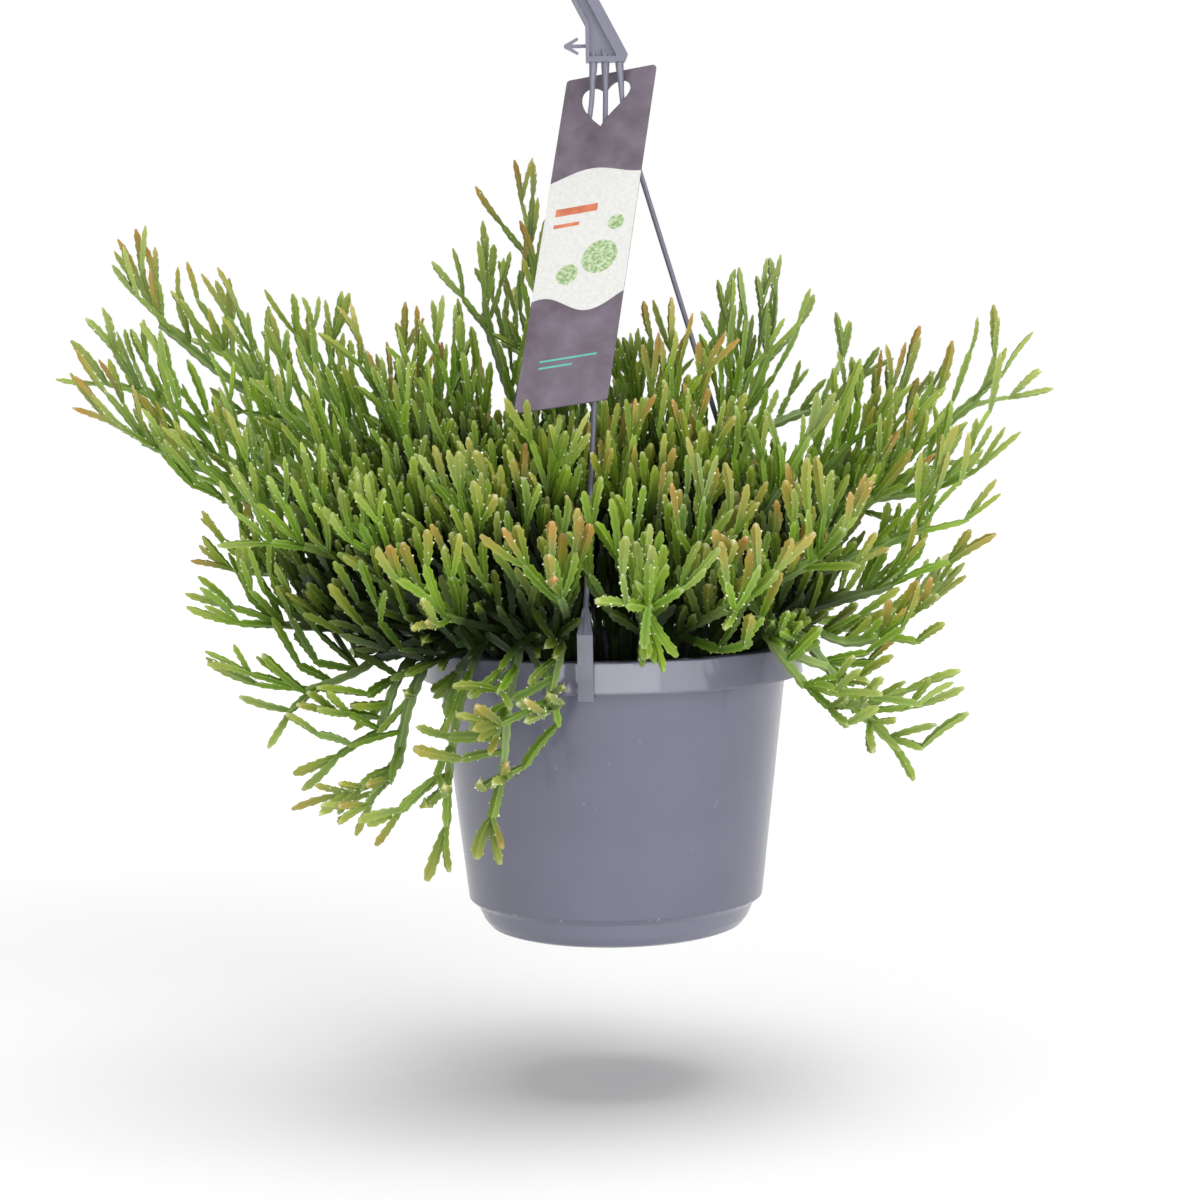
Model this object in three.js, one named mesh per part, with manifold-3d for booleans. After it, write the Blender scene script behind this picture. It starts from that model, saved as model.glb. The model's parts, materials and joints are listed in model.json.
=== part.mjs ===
// Potted rhipsalis ewaldiana, a jointed finger-stemmed cactus in a hanging pot.
// Millimetres, +Z up. The origin is the point where the hook bears, and the front is -Y.
import * as THREE from "three";
import { mergeVertices } from "three/addons/utils/BufferGeometryUtils.js";
import Module from "manifold-3d";

const wasm = await Module();
wasm.setup();

// Heights of the main levels, down from the hook's bearing point
const HUB_BOTTOM = -62;
const RIM_TOP = -303;
const POT_HEIGHT = 120;
const POT_BASE = RIM_TOP - POT_HEIGHT;
const CLEARANCE = 0.35;

// Pot: a tapered cup with an overhanging rim band and a recessed foot
const RIM_RADIUS = 80;
const BAND_HEIGHT = 13;
const BAND_WALL = 1.4;
const POT_SIDES = 36;
const WALL_TOP_RADIUS = 74;
const WALL_LOW_RADIUS = 61.9;
const FOOT_TOP_RADIUS = 58.5;
const FOOT_FLAT_RADIUS = 49;
const FOOT_HEIGHT = 12;
const WALL = 1.4;
const FLOOR = 1.8;
const DRAIN_RADIUS = 4;
const DRAIN_RING = 34;
const DRAIN_COUNT = 5;

// Soil: fills the pot to a little below its rim
const SOIL_SIDES = 18;
const SOIL_DROP = 14;
const HOLE_DEPTH = 12;

// Hanger: hook, flat shank, wedge hub, three strands and three rim clips in one moulding
const HOOK_INNER_RADIUS = 13;
const SHANK_HALF_WIDTH = 5.1;
const HOOK_HALF_WIDTH = 3.6;
const HANGER_DEPTH = 7;
const FLANGE = 1.5;
const POCKET_DEPTH = 2.4;
const STRAND_RADIUS = 1.1;
const HUB_X = 2;
const STRAND_TOPS = [1.4, 7.6, -3.8];
const STRAND_AZIMUTHS = [-7.6, 119, -126];
const KNEE_DROP = 19;
const CLIP_WIDTH = 6.8;
const CLIP_INNER = RIM_RADIUS + 0.3;
const CLIP_OUTER = CLIP_INNER + 1.6;
const CLIP_RISE = 12;
const CLIP_NECK = 10;

// Tag: a card whose ends are cut a little aslant, hung through its heart-shaped hole
const TAG_WIDTH = 38.9;
const TAG_LENGTH = 154;
const TAG_SHIFT = -21.3;
const TAG_THICKNESS = 0.8;
const TAG_ORIGIN = new THREE.Vector3(3.9, 6, -65.9);
const TAG_ACROSS = new THREE.Vector3(0.954, -0.268, 0.137);
const TAG_UP = new THREE.Vector3(0.014, 0.496, 0.868);

// Cactus: radii of the main stems and of the finger-like joints, over their edges
const STEM_RADIUS = 2.3;
const FINGER_RADIUS = 2.6;
const FINGER_SIDES = 3;
const FINGER_GAP = 0.45;
const STEM_GAP = 1;
const OWN_GAP = -0.6;
const FUSED = -100;
const CREST_RADIUS = 86;
const CREST_RISE = 9;
const SEED = 20;

// Heads of the shoots as [x, y, height above the rim], one line a shoot.
// The first head ends the shoot's main stem, and any others end branches of it.
const SHOOTS = [
  [[-193, -10, 110], [-162, -18, 82]],
  [[-187, 14, 137], [-148, 12, 108]],
  [[-163, 38, 126]],
  [[-188, -34, 88], [-150, -36, 66]],
  [[-122, 26, 112]],
  [[-97, 2, 108]],
  [[-70, 2, 102]],
  [[-52, 42, 138]],
  [[-34, 54, 166], [-44, 66, 126]],
  [[-118, -30, 82]],
  [[-84, -24, 80]],
  [[26, -14, 98]],
  [[57, 20, 112]],
  [[71, 44, 122], [92, 46, 98]],
  [[101, 0, 82]],
  [[129, 10, 90], [112, 28, 76]],
  [[153, 0, 102], [136, -12, 62]],
  [[128, -42, 50]],
  [[116, -30, 24]],
  [[108, -54, 5]],
  [[98, -62, -22], [76, -74, -12]],
  [[-143, -20, 34]],
  [[-134, -34, 14]],
  [[-124, -50, -12]],
  [[-86, -70, -42], [-94, -56, -28]],
  [[-66, -92, -46]],
  [[-44, -99, -40], [-26, -102, -14]],
  [[-55, -88, 54]],
  [[14, -118, 26]],
  [[-90, -78, 42]],
  [[-122, -60, 48]],
  [[-24, -60, 64]],
  [[49, -100, 24]],
  [[83, -72, 40]],
  [[4, -50, 64]],
  [[38, -42, 72]],
  [[-20, -112, 30]],
  [[-64, -98, 16]],
  [[107, -20, 60]],
  [[69, -42, 66]],
  [[35, -80, 42]],
  [[12, 20, 92]],
  [[-132, 70, 56], [-150, 54, 84]],
  [[-100, 100, 36]],
  [[-62, 88, 84]],
  [[-38, 132, 38]],
  [[4, 100, 78]],
  [[34, 140, 28]],
  [[60, 90, 84]],
  [[100, 82, 58], [132, 52, 66]],
  [[86, 118, 16]],
  [[-90, 48, 88]],
  [[-112, 84, -8]],
  [[-12, 118, -16]],
  [[118, 62, -2]],
];

// Turns a closed three.js geometry into a solid that can be joined and cut
function solid(geometry) {
  const bare = geometry.clone();
  bare.deleteAttribute("normal");
  bare.deleteAttribute("uv");
  const merged = mergeVertices(bare, 1e-4);
  const mesh = new wasm.Mesh({
    numProp: 3,
    vertProperties: new Float32Array(merged.attributes.position.array),
    triVerts: new Uint32Array(merged.index.array),
  });
  return new wasm.Manifold(mesh);
}

function geometryOf(body) {
  const mesh = body.getMesh();
  const geometry = new THREE.BufferGeometry();
  geometry.setAttribute("position", new THREE.BufferAttribute(mesh.vertProperties, 3));
  geometry.setIndex(new THREE.BufferAttribute(mesh.triVerts, 1));
  return geometry;
}

const joined = (bodies) => bodies.reduce((whole, body) => whole.add(body));

function material(colour, roughness) {
  return new THREE.MeshStandardMaterial({ color: colour, roughness, metalness: 0 });
}

const PLASTIC = material(0x85869a, 0.42);
const EARTH = material(0x2a211a, 0.95);
const CARD = material(0x8a8390, 0.5);
const GREEN = material(0x6f9a30, 0.5);

const lathe = (points, sides) =>
  new THREE.LatheGeometry(points.map(([r, z]) => new THREE.Vector2(r, z)), sides).rotateX(Math.PI / 2);

function makePot() {
  const skirt = RIM_RADIUS - BAND_WALL;
  const under = POT_HEIGHT - FLOOR;
  const profile = [
    [0, 0],
    [FOOT_FLAT_RADIUS, 0],
    [FOOT_FLAT_RADIUS + 4, 1.5],
    [FOOT_FLAT_RADIUS + 6.8, 5],
    [FOOT_TOP_RADIUS, FOOT_HEIGHT],
    [WALL_LOW_RADIUS, FOOT_HEIGHT + 1.2],
    [WALL_TOP_RADIUS, under],
    [skirt, under],
    [skirt, POT_HEIGHT - BAND_HEIGHT],
    [RIM_RADIUS, POT_HEIGHT - BAND_HEIGHT],
    [RIM_RADIUS, POT_HEIGHT],
    [WALL_TOP_RADIUS - WALL, POT_HEIGHT],
    [WALL_LOW_RADIUS - WALL, FOOT_HEIGHT + 2.4],
    [FOOT_TOP_RADIUS - WALL, FOOT_HEIGHT - 1],
    [FOOT_FLAT_RADIUS, FLOOR],
    [0, FLOOR],
  ];
  let pot = solid(lathe(profile, POT_SIDES).translate(0, 0, POT_BASE));
  for (let i = 0; i < DRAIN_COUNT; i += 1) {
    const angle = (2 * Math.PI * i) / DRAIN_COUNT;
    const drain = new THREE.CylinderGeometry(DRAIN_RADIUS, DRAIN_RADIUS, 4 * FLOOR, 8);
    drain.rotateX(Math.PI / 2);
    drain.translate(DRAIN_RING * Math.cos(angle), DRAIN_RING * Math.sin(angle), POT_BASE + FLOOR);
    pot = pot.subtract(solid(drain));
  }
  return geometryOf(pot);
}

// The point of a level inside the pot's wall, set in by the clearance
function insideWall(height) {
  const low = FOOT_HEIGHT + 2.4;
  const part = (height - low) / (POT_HEIGHT - low);
  return WALL_LOW_RADIUS - WALL + part * (WALL_TOP_RADIUS - WALL_LOW_RADIUS) - CLEARANCE;
}

function makeSoil(holes) {
  const edge = POT_HEIGHT - SOIL_DROP;
  const profile = [
    [0, FLOOR + CLEARANCE],
    [FOOT_FLAT_RADIUS - 1, FLOOR + CLEARANCE],
    [FOOT_TOP_RADIUS - WALL - 0.8, FOOT_HEIGHT - 1],
    [insideWall(FOOT_HEIGHT + 3), FOOT_HEIGHT + 3],
    [insideWall(edge), edge],
    [0, edge],
  ];
  const mound = solid(lathe(profile, SOIL_SIDES).translate(0, 0, POT_BASE));
  return geometryOf(holes.reduce((body, hole) => body.subtract(hole), mound));
}

// Centre line of the shank and hook, as [x, z, half width], from the hub up and over
function hookLine() {
  const middle = HOOK_INNER_RADIUS + HOOK_HALF_WIDTH;
  const line = [
    [HUB_X + 0.5, HUB_BOTTOM + 8, SHANK_HALF_WIDTH],
    [HUB_X - 8.4, -36, SHANK_HALF_WIDTH],
    [-13.8, -23, HOOK_HALF_WIDTH + 0.8],
  ];
  for (let degrees = 180; degrees >= -24; degrees -= 17) {
    const angle = THREE.MathUtils.degToRad(degrees);
    const half = degrees < 0 ? HOOK_HALF_WIDTH - 0.6 : HOOK_HALF_WIDTH;
    line.push([middle * Math.cos(angle), middle * Math.sin(angle) - HOOK_INNER_RADIUS, half]);
  }
  return line;
}

// A flat ribbon along the centre line, narrower on both edges by inset
function ribbon(line, inset, depth) {
  const left = [];
  const right = [];
  line.forEach(([x, z, half], i) => {
    const before = line[Math.max(i - 1, 0)];
    const after = line[Math.min(i + 1, line.length - 1)];
    const run = new THREE.Vector2(after[0] - before[0], after[1] - before[1]).normalize();
    const reach = half - inset;
    left.push(new THREE.Vector2(x - run.y * reach, z + run.x * reach));
    right.unshift(new THREE.Vector2(x + run.y * reach, z - run.x * reach));
  });
  return plate(new THREE.Shape([...left, ...right]), depth);
}

// A shape drawn in x and z, with its depth centred on y = 0
function plate(shape, depth) {
  const body = new THREE.ExtrudeGeometry(shape, { depth, bevelEnabled: false });
  return body.translate(0, 0, -depth / 2).rotateX(Math.PI / 2);
}

const shapeOf = (points) => new THREE.Shape(points.map(([x, z]) => new THREE.Vector2(x, z)));

function makeHook() {
  const line = hookLine();
  const wedge = [
    [HUB_X - 8.6, HUB_BOTTOM],
    [HUB_X + 7.6, HUB_BOTTOM],
    [HUB_X + 8.8, HUB_BOTTOM + 3],
    [HUB_X - 2.7, -36],
    [HUB_X - 14.1, -36],
    [HUB_X - 8.6, HUB_BOTTOM + 15],
  ];
  const window = [
    [HUB_X - 7.1, HUB_BOTTOM + 2],
    [HUB_X + 5.8, HUB_BOTTOM + 2],
    [HUB_X - 4.6, -38],
    [HUB_X - 11.6, -38],
    [HUB_X - 7.1, HUB_BOTTOM + 15.4],
  ];
  let body = solid(ribbon(line, 0, HANGER_DEPTH)).add(solid(plate(shapeOf(wedge), HANGER_DEPTH)));
  for (const side of [-1, 1]) {
    const shift = side * (HANGER_DEPTH - POCKET_DEPTH) / 2;
    const reach = POCKET_DEPTH + 0.02;
    const trough = ribbon(line.slice(1, -1), FLANGE, reach).translate(0, shift, 0);
    const well = plate(shapeOf(window), reach).translate(0, shift, 0);
    body = body.subtract(solid(trough)).subtract(solid(well));
  }
  return body.add(makePin());
}

// The barbed pin for a label, at the hub's left
function makePin() {
  const level = HUB_BOTTOM + 6.7;
  const tip = HUB_X - 17.5;
  const outline = [
    [HUB_X - 8, level - 0.7],
    [HUB_X - 8, level + 0.7],
    [tip + 3, level + 0.7],
    [tip + 6, level + 2.6],
    [tip + 5.6, level + 3.6],
    [tip, level + 0.6],
    [tip, level - 0.6],
    [tip + 5.6, level - 3.6],
    [tip + 6, level - 2.6],
    [tip + 3, level - 0.7],
  ];
  return solid(plate(shapeOf(outline), 1.8));
}

function outwardAt(degrees) {
  const angle = THREE.MathUtils.degToRad(degrees);
  return new THREE.Vector3(Math.sin(angle), -Math.cos(angle), 0);
}

// Points of one strand, from inside the hub down to its clip's neck
function strandPoints(index) {
  const x = STRAND_TOPS[index];
  const knee = new THREE.Vector3(x, 0, HUB_BOTTOM - KNEE_DROP);
  const middle = (CLIP_INNER + CLIP_OUTER) / 2;
  const end = outwardAt(STRAND_AZIMUTHS[index]).multiplyScalar(middle).setZ(RIM_TOP + CLIP_RISE);
  return [
    new THREE.Vector3(x, 0, HUB_BOTTOM + 4),
    new THREE.Vector3(x, 0, HUB_BOTTOM - 5),
    knee.clone().lerp(end, 0.06),
    knee.clone().lerp(end, 0.4),
    end,
  ];
}

function circleShape(radius, sides) {
  const points = [];
  for (let i = 0; i < sides; i += 1) {
    const angle = (2 * Math.PI * i) / sides;
    points.push(new THREE.Vector2(radius * Math.cos(angle), radius * Math.sin(angle)));
  }
  return new THREE.Shape(points);
}

function tube(points, radius, sides, steps) {
  const path = new THREE.CatmullRomCurve3(points, false, "centripetal");
  return new THREE.ExtrudeGeometry(circleShape(radius, sides), { steps, extrudePath: path });
}

function makeStrand(index) {
  const points = strandPoints(index);
  const wire = solid(tube(points, STRAND_RADIUS, 5, 8));
  const root = new THREE.CylinderGeometry(1.8, STRAND_RADIUS, 13, 6).rotateX(Math.PI / 2);
  root.translate(STRAND_TOPS[index], 0, HUB_BOTTOM - 5.5);
  return wire.add(solid(root)).add(makeClip(index));
}

// The clip grips the rim band from outside and hooks up behind its lower edge
function makeClip(index) {
  const lip = RIM_RADIUS - BAND_WALL - 0.7;
  const seat = -BAND_HEIGHT - 0.3;
  const profile = [
    [CLIP_INNER, CLIP_RISE],
    [CLIP_INNER, seat],
    [lip, seat],
    [lip, seat + 3.8],
    [lip - 1.4, seat + 3.8],
    [lip - 1.4, seat - 1.7],
    [CLIP_OUTER, seat - 1.7],
    [CLIP_OUTER, CLIP_RISE],
  ];
  const turn = THREE.MathUtils.degToRad(STRAND_AZIMUTHS[index] - 90);
  const jaw = plate(shapeOf(profile), CLIP_WIDTH).rotateZ(turn).translate(0, 0, RIM_TOP);
  const points = strandPoints(index);
  const end = points[points.length - 1];
  const along = points[points.length - 2].clone().sub(end).normalize();
  const across = new THREE.Vector3(Math.cos(turn + Math.PI / 2), Math.sin(turn + Math.PI / 2), 0);
  const out = across.clone().cross(along).normalize();
  const neck = [
    [-CLIP_WIDTH / 2, -1],
    [CLIP_WIDTH / 2, -1],
    [1.2, CLIP_NECK],
    [-1.2, CLIP_NECK],
  ];
  const flare = new THREE.ExtrudeGeometry(shapeOf(neck), { depth: 1.6, bevelEnabled: false });
  flare.translate(0, 0, -0.8);
  flare.applyMatrix4(new THREE.Matrix4().makeBasis(across, along, out).setPosition(end));
  return solid(jaw).add(solid(flare));
}

function makeHanger() {
  return geometryOf(joined([makeHook(), makeStrand(0), makeStrand(1), makeStrand(2)]));
}

function heartHole() {
  const hole = new THREE.Path();
  hole.moveTo(-2.3, -11);
  hole.bezierCurveTo(-2, -7, 1, -4.5, 4, -4.5);
  hole.bezierCurveTo(7, -4.5, 8.6, -7, 8.4, -9.6);
  hole.bezierCurveTo(8, -14, -2, -20, -4.6, -25.6);
  hole.bezierCurveTo(-8.4, -21.5, -13.2, -16, -12.8, -10.5);
  hole.bezierCurveTo(-12.6, -7.4, -10.6, -5.9, -8.4, -5.9);
  hole.bezierCurveTo(-5.6, -5.9, -3, -8, -2.3, -11);
  return hole;
}

function makeTag() {
  const half = TAG_WIDTH / 2;
  const shape = new THREE.Shape();
  shape.moveTo(-half + 1.5, 0);
  shape.lineTo(-half, -1.5);
  shape.lineTo(-half + TAG_SHIFT, -TAG_LENGTH + 1.5);
  shape.lineTo(-half + TAG_SHIFT + 1.3, -TAG_LENGTH);
  shape.lineTo(half + TAG_SHIFT - 1.5, -TAG_LENGTH);
  shape.lineTo(half + TAG_SHIFT, -TAG_LENGTH + 1.5);
  shape.lineTo(half, -1.5);
  shape.lineTo(half - 1.3, 0);
  shape.holes.push(heartHole());
  const options = { depth: TAG_THICKNESS, bevelEnabled: false, curveSegments: 5 };
  const card = new THREE.ExtrudeGeometry(shape, options).translate(0, 0, -TAG_THICKNESS / 2);
  const across = TAG_ACROSS.clone().normalize();
  const face = across.clone().cross(TAG_UP).normalize();
  const up = face.clone().cross(across);
  return card.applyMatrix4(new THREE.Matrix4().makeBasis(across, up, face).setPosition(TAG_ORIGIN));
}

// Plain vector arithmetic for the growth rule
const plus = (a, b, k) => [a[0] + b[0] * k, a[1] + b[1] * k, a[2] + b[2] * k];
const scaled = (a, k) => [a[0] * k, a[1] * k, a[2] * k];
const minus = (a, b) => [a[0] - b[0], a[1] - b[1], a[2] - b[2]];
const dot = (a, b) => a[0] * b[0] + a[1] * b[1] + a[2] * b[2];
const snap = (value) => Math.floor(value * 1e9 + 0.5) / 1e9;
const clamp = (value, low, high) => Math.min(Math.max(value, low), high);

function cross(a, b) {
  return [a[1] * b[2] - a[2] * b[1], a[2] * b[0] - a[0] * b[2], a[0] * b[1] - a[1] * b[0]];
}

function unit(a) {
  const size = Math.sqrt(dot(a, a));
  return [a[0] / size, a[1] / size, a[2] / size];
}

// Seeded draws between 0 and 1
function drawsFrom(seed) {
  let state = seed >>> 0;
  return () => {
    state = (state + 0x6d2b79f5) >>> 0;
    let mixed = Math.imul(state ^ (state >>> 15), state | 1);
    mixed ^= mixed + Math.imul(mixed ^ (mixed >>> 7), mixed | 61);
    return ((mixed ^ (mixed >>> 14)) >>> 0) / 4294967296;
  };
}

// Shortest distance between the straight runs a-b and c-d
function separation(a, b, c, d) {
  const u = minus(b, a);
  const v = minus(d, c);
  const w = minus(a, c);
  const uu = dot(u, u);
  const vv = dot(v, v);
  const uv = dot(u, v);
  const uw = dot(u, w);
  const vw = dot(v, w);
  const wide = uu * vv - uv * uv;
  let s = wide > 1e-9 ? clamp((uv * vw - vv * uw) / wide, 0, 1) : 0;
  const t = clamp((uv * s + vw) / vv, 0, 1);
  s = clamp((uv * t - uw) / uu, 0, 1);
  const gap = minus(plus(a, u, s), plus(c, v, t));
  return Math.sqrt(dot(gap, gap));
}

const OPEN_RADIUS = 72;
const SOIL_LEVEL = RIM_TOP - SOIL_DROP;

// A run of a stem stays above the rim, outside the pot, or inside it above the soil
function clearOfPot(a, b, radius) {
  const room = radius + 0.7;
  for (let k = 0; k <= 4; k += 1) {
    const p = plus(a, minus(b, a), k / 4);
    const out = Math.sqrt(p[0] * p[0] + p[1] * p[1]);
    const outside = out > RIM_RADIUS + room;
    const within = out < OPEN_RADIUS - room && p[2] > SOIL_LEVEL + room;
    if (p[2] < RIM_TOP + room && !outside && !within) return false;
  }
  return true;
}

// Runs that are taken already, as capsules: {a, b, radius, owner}
const taken = [];

function block(points, radius) {
  for (let i = 1; i < points.length; i += 1) {
    taken.push({ a: points[i - 1], b: points[i], radius, owner: -1 });
  }
}

function blockHanger() {
  for (let i = 0; i < STRAND_TOPS.length; i += 1) {
    const points = strandPoints(i).map((p) => [snap(p.x), snap(p.y), snap(p.z)]);
    block(points, STRAND_RADIUS + 0.6);
    const foot = points[points.length - 1];
    block([[foot[0], foot[1], RIM_TOP - 14], [foot[0], foot[1], RIM_TOP + 24]], 4.4);
  }
}

function blockTag() {
  const across = TAG_ACROSS.toArray();
  const down = TAG_UP.toArray().map((part) => -part);
  for (const side of [-18, -9, 0, 9, 18]) {
    const top = plus(TAG_ORIGIN.toArray(), across, side);
    const foot = plus(plus(top, down, TAG_LENGTH), across, TAG_SHIFT);
    block([top, foot], 5.2);
  }
}

// Whether a run is clear of all that is taken. Half of it is free to fuse with its own shoot.
function fits(a, b, radius, owner, gap, ownGap = OWN_GAP) {
  const own = plus(a, minus(b, a), 0.5);
  for (const run of taken) {
    const mine = run.owner === owner;
    const room = radius + run.radius + (mine ? ownGap : gap);
    if (separation(mine ? own : a, b, run.a, run.b) < room) return false;
  }
  return clearOfPot(a, b, radius);
}

function bezier(p, q, r, s, steps) {
  const points = [];
  for (let i = 1; i <= steps; i += 1) {
    const t = i / steps;
    const w = 1 - t;
    const start = scaled(p, w * w * w);
    const rise = plus(start, q, 3 * w * w * t);
    points.push(plus(plus(rise, r, 3 * w * t * t), s, t * t * t));
  }
  return points;
}

// Which way a head faces: upright over the pot, leaning out at its sides, down below its rim
function habit(head) {
  const out = unit([head[0], head[1], 0]);
  const height = head[2] - RIM_TOP;
  const steep = height / Math.sqrt(head[0] * head[0] + head[1] * head[1]);
  const lean = clamp(1.7 - 1.7 * steep, 0.05, 3);
  const growth = unit([out[0] * lean, out[1] * lean, clamp(1 + 3.5 * steep, -0.9, 1)]);
  const outer = steep > 0.1 ? 1.5 * lean + 0.3 : 1;
  const arrival = unit([out[0] * outer, out[1] * outer, clamp(1 + 9 * steep, -1.6, 1)]);
  return { out, steep, growth, arrival };
}

// A smooth run from start, leaving along heading and coming in along arrival
function curveTo(start, heading, end, arrival) {
  const gap = minus(end, start);
  const span = Math.sqrt(dot(gap, gap));
  const steps = clamp(Math.floor(span / 26 + 0.5), 2, 6);
  const first = plus(start, heading, 0.36 * span);
  const second = plus(end, arrival, -0.3 * span);
  return bezier(start, first, second, end, steps);
}

// The run to a head. A head below the rim is reached by way of a point just over it.
function stemTo(start, heading, head, arrival) {
  if (head[2] > RIM_TOP + 8) return curveTo(start, heading, head, arrival);
  const side = unit([head[0], head[1], 0]);
  const crest = [side[0] * CREST_RADIUS, side[1] * CREST_RADIUS, RIM_TOP + CREST_RISE];
  const over = unit([side[0], side[1], -0.3]);
  return [...curveTo(start, heading, crest, over), ...curveTo(crest, over, head, arrival)];
}

function lineFits(points, owner, from) {
  for (let i = from; i < points.length; i += 1) {
    if (!fits(points[i - 1], points[i], STEM_RADIUS, owner, STEM_GAP, FUSED)) return false;
  }
  return true;
}

// The main stem of a shoot, tried with small changes until it is clear
function growStem(head, owner, draw) {
  const { out, steep, arrival } = habit(head);
  for (let turn = 0; turn < 60; turn += 1) {
    const sway = (draw() - 0.5) * (0.3 + 0.03 * turn);
    const ring = clamp(58 - 30 * steep, 12, 57) + (draw() - 0.5) * (4 + 0.5 * turn);
    const shift = [draw() - 0.5, draw() - 0.5, draw() - 0.5];
    const end = plus(head, shift, 2 + 0.4 * turn);
    const side = unit([out[0] - out[1] * sway, out[1] + out[0] * sway, 0]);
    const reach = clamp(ring, 8, 60);
    const root = [side[0] * reach, side[1] * reach, SOIL_LEVEL - HOLE_DEPTH];
    const heading = unit([side[0] * 0.25, side[1] * 0.25, 1]);
    const collar = plus(root, heading, HOLE_DEPTH + 6);
    const points = [root, collar, ...stemTo(collar, heading, end, arrival)];
    const rooted = fits(plus(root, heading, HOLE_DEPTH + 4), collar, STEM_RADIUS, owner, STEM_GAP);
    if (rooted && lineFits(points, owner, 2)) return points;
  }
  return null;
}

// A branch of a main stem that ends in a head of its own
function growBranch(stem, head, owner, draw) {
  const { arrival } = habit(head);
  for (let turn = 0; turn < 60; turn += 1) {
    const part = 0.4 + 0.35 * draw();
    const at = clamp(Math.floor(stem.length * part), 2, stem.length - 2);
    const shift = [draw() - 0.5, draw() - 0.5, draw() - 0.5];
    const end = plus(head, shift, 2 + 0.4 * turn);
    const heading = unit(minus(stem[at + 1], stem[at]));
    const points = [stem[at], ...stemTo(stem[at], heading, end, arrival)];
    if (lineFits(points, owner, 1)) return points;
  }
  return null;
}

function takeLine(points, owner) {
  for (let i = 1; i < points.length; i += 1) {
    taken.push({ a: points[i - 1], b: points[i], radius: STEM_RADIUS, owner });
  }
}

// A direction that leans from dir by the given angle, at the given turn about it
function leaning(dir, lean, turn, lift) {
  const level = Math.abs(dir[2]) > 0.9 ? [1, 0, 0] : [0, 0, 1];
  const u = unit(cross(dir, level));
  const v = cross(dir, u);
  const side = snap(Math.sin(lean));
  const along = snap(Math.cos(lean));
  const edge = plus(scaled(u, snap(Math.cos(turn))), v, snap(Math.sin(turn)));
  const aimed = plus(scaled(dir, along), edge, side);
  return unit([aimed[0], aimed[1], aimed[2] + lift]);
}

// A whorl of fingers at a joint, each a step further back down what bears it than the one before.
// Returns those that found room.
function whorl(joint, step, dir, count, rule, owner, draw) {
  const grown = [];
  const offset = draw() * 2 * Math.PI;
  for (let i = 0; i < count; i += 1) {
    const from = plus(joint, step, -i);
    for (let turn = 0; turn < 6; turn += 1) {
      const wide = rule.lean + rule.spread * (draw() - 0.5) + 0.05 * turn;
      const lean = i === 0 && count > 1 ? wide * 0.4 : wide;
      const angle = offset + (i + 0.5 * (draw() - 0.5) + 0.15 * turn) * ((2 * Math.PI) / count);
      const length = rule.length * (0.8 + 0.4 * draw());
      const aim = leaning(dir, lean, angle, rule.lift);
      const end = plus(from, aim, length);
      if (!fits(from, end, FINGER_RADIUS, owner, FINGER_GAP)) continue;
      grown.push({ a: from, b: end, length, radius: FINGER_RADIUS, owner, aim, leads: i === 0 });
      break;
    }
  }
  taken.push(...grown);
  return grown;
}

const JOINT = 0.92;
const SIDE_PLACES = [0.74, 0.5];
const LONG_STEM = 6;
const FIRST = { lean: 0.62, spread: 0.3, lift: 0.12, length: 23 };
const SECOND = { lean: 0.36, spread: 0.3, lift: 0.16, length: 20 };
const SIDE = { lean: 0.85, spread: 0.3, lift: 0.3, length: 20 };

// The fingers at the end of a stem: a whorl, and one more on each of its fingers.
// A finger that leads runs on in line from what it grows on, which keeps it as its tip.
function growHead(line, count, owner, draw) {
  const end = line.points[line.points.length - 1];
  const last = unit(minus(end, line.points[line.points.length - 2]));
  const { growth } = habit(end);
  const heading = unit(plus(last, growth, 1.5));
  const fingers = whorl(end, scaled(last, 4.5), heading, count, FIRST, owner, draw);
  line.tip = fingers.find((finger) => finger.leads);
  const tips = [];
  for (const finger of fingers) tips.push(...extend(finger, owner, draw));
  return [...fingers, ...tips];
}

// The next finger on the end of one
function extend(finger, owner, draw) {
  const { a, aim, length } = finger;
  const next = whorl(plus(a, aim, JOINT * length), aim, aim, 1, SECOND, owner, draw);
  finger.tip = next[0];
  return next;
}

// A side finger at a joint part of the way along a stem
function growSide(points, part, owner, draw) {
  const at = Math.floor((points.length - 1) * part);
  const dir = unit(minus(points[at + 1], points[at]));
  const grown = whorl(points[at], dir, dir, 1, SIDE, owner, draw);
  for (const finger of grown) finger.leads = false;
  return grown.flatMap((finger) => [finger, ...extend(finger, owner, draw)]);
}

function growAll() {
  blockHanger();
  blockTag();
  const shoots = SHOOTS.map((heads, owner) => {
    const draw = drawsFrom(SEED + owner);
    const places = heads.map(([x, y, height]) => [x, y, RIM_TOP + height]);
    const stem = growStem(places[0], owner, draw);
    if (!stem) throw new Error("no room for the main stem of shoot " + (owner + 1));
    takeLine(stem, owner);
    const lines = [{ points: stem }];
    for (const place of places.slice(1)) {
      const branch = growBranch(stem, place, owner, draw);
      if (!branch) throw new Error("no room for a branch of shoot " + (owner + 1));
      takeLine(branch, owner);
      lines.push({ points: branch });
    }
    return { owner, draw, lines, fingers: [] };
  });
  for (const shoot of shoots) {
    shoot.lines.forEach((line, i) => {
      shoot.fingers.push(...growHead(line, i === 0 ? 3 : 2, shoot.owner, shoot.draw));
    });
  }
  for (const part of SIDE_PLACES) {
    for (const { lines, fingers, owner, draw } of shoots) {
      const points = lines[0].points;
      const room = part === SIDE_PLACES[0] || points.length >= LONG_STEM;
      if (room) fingers.push(...growSide(points, part, owner, draw));
    }
  }
  return shoots;
}

const vector = (p) => new THREE.Vector3(p[0], p[1], p[2]);

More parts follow.
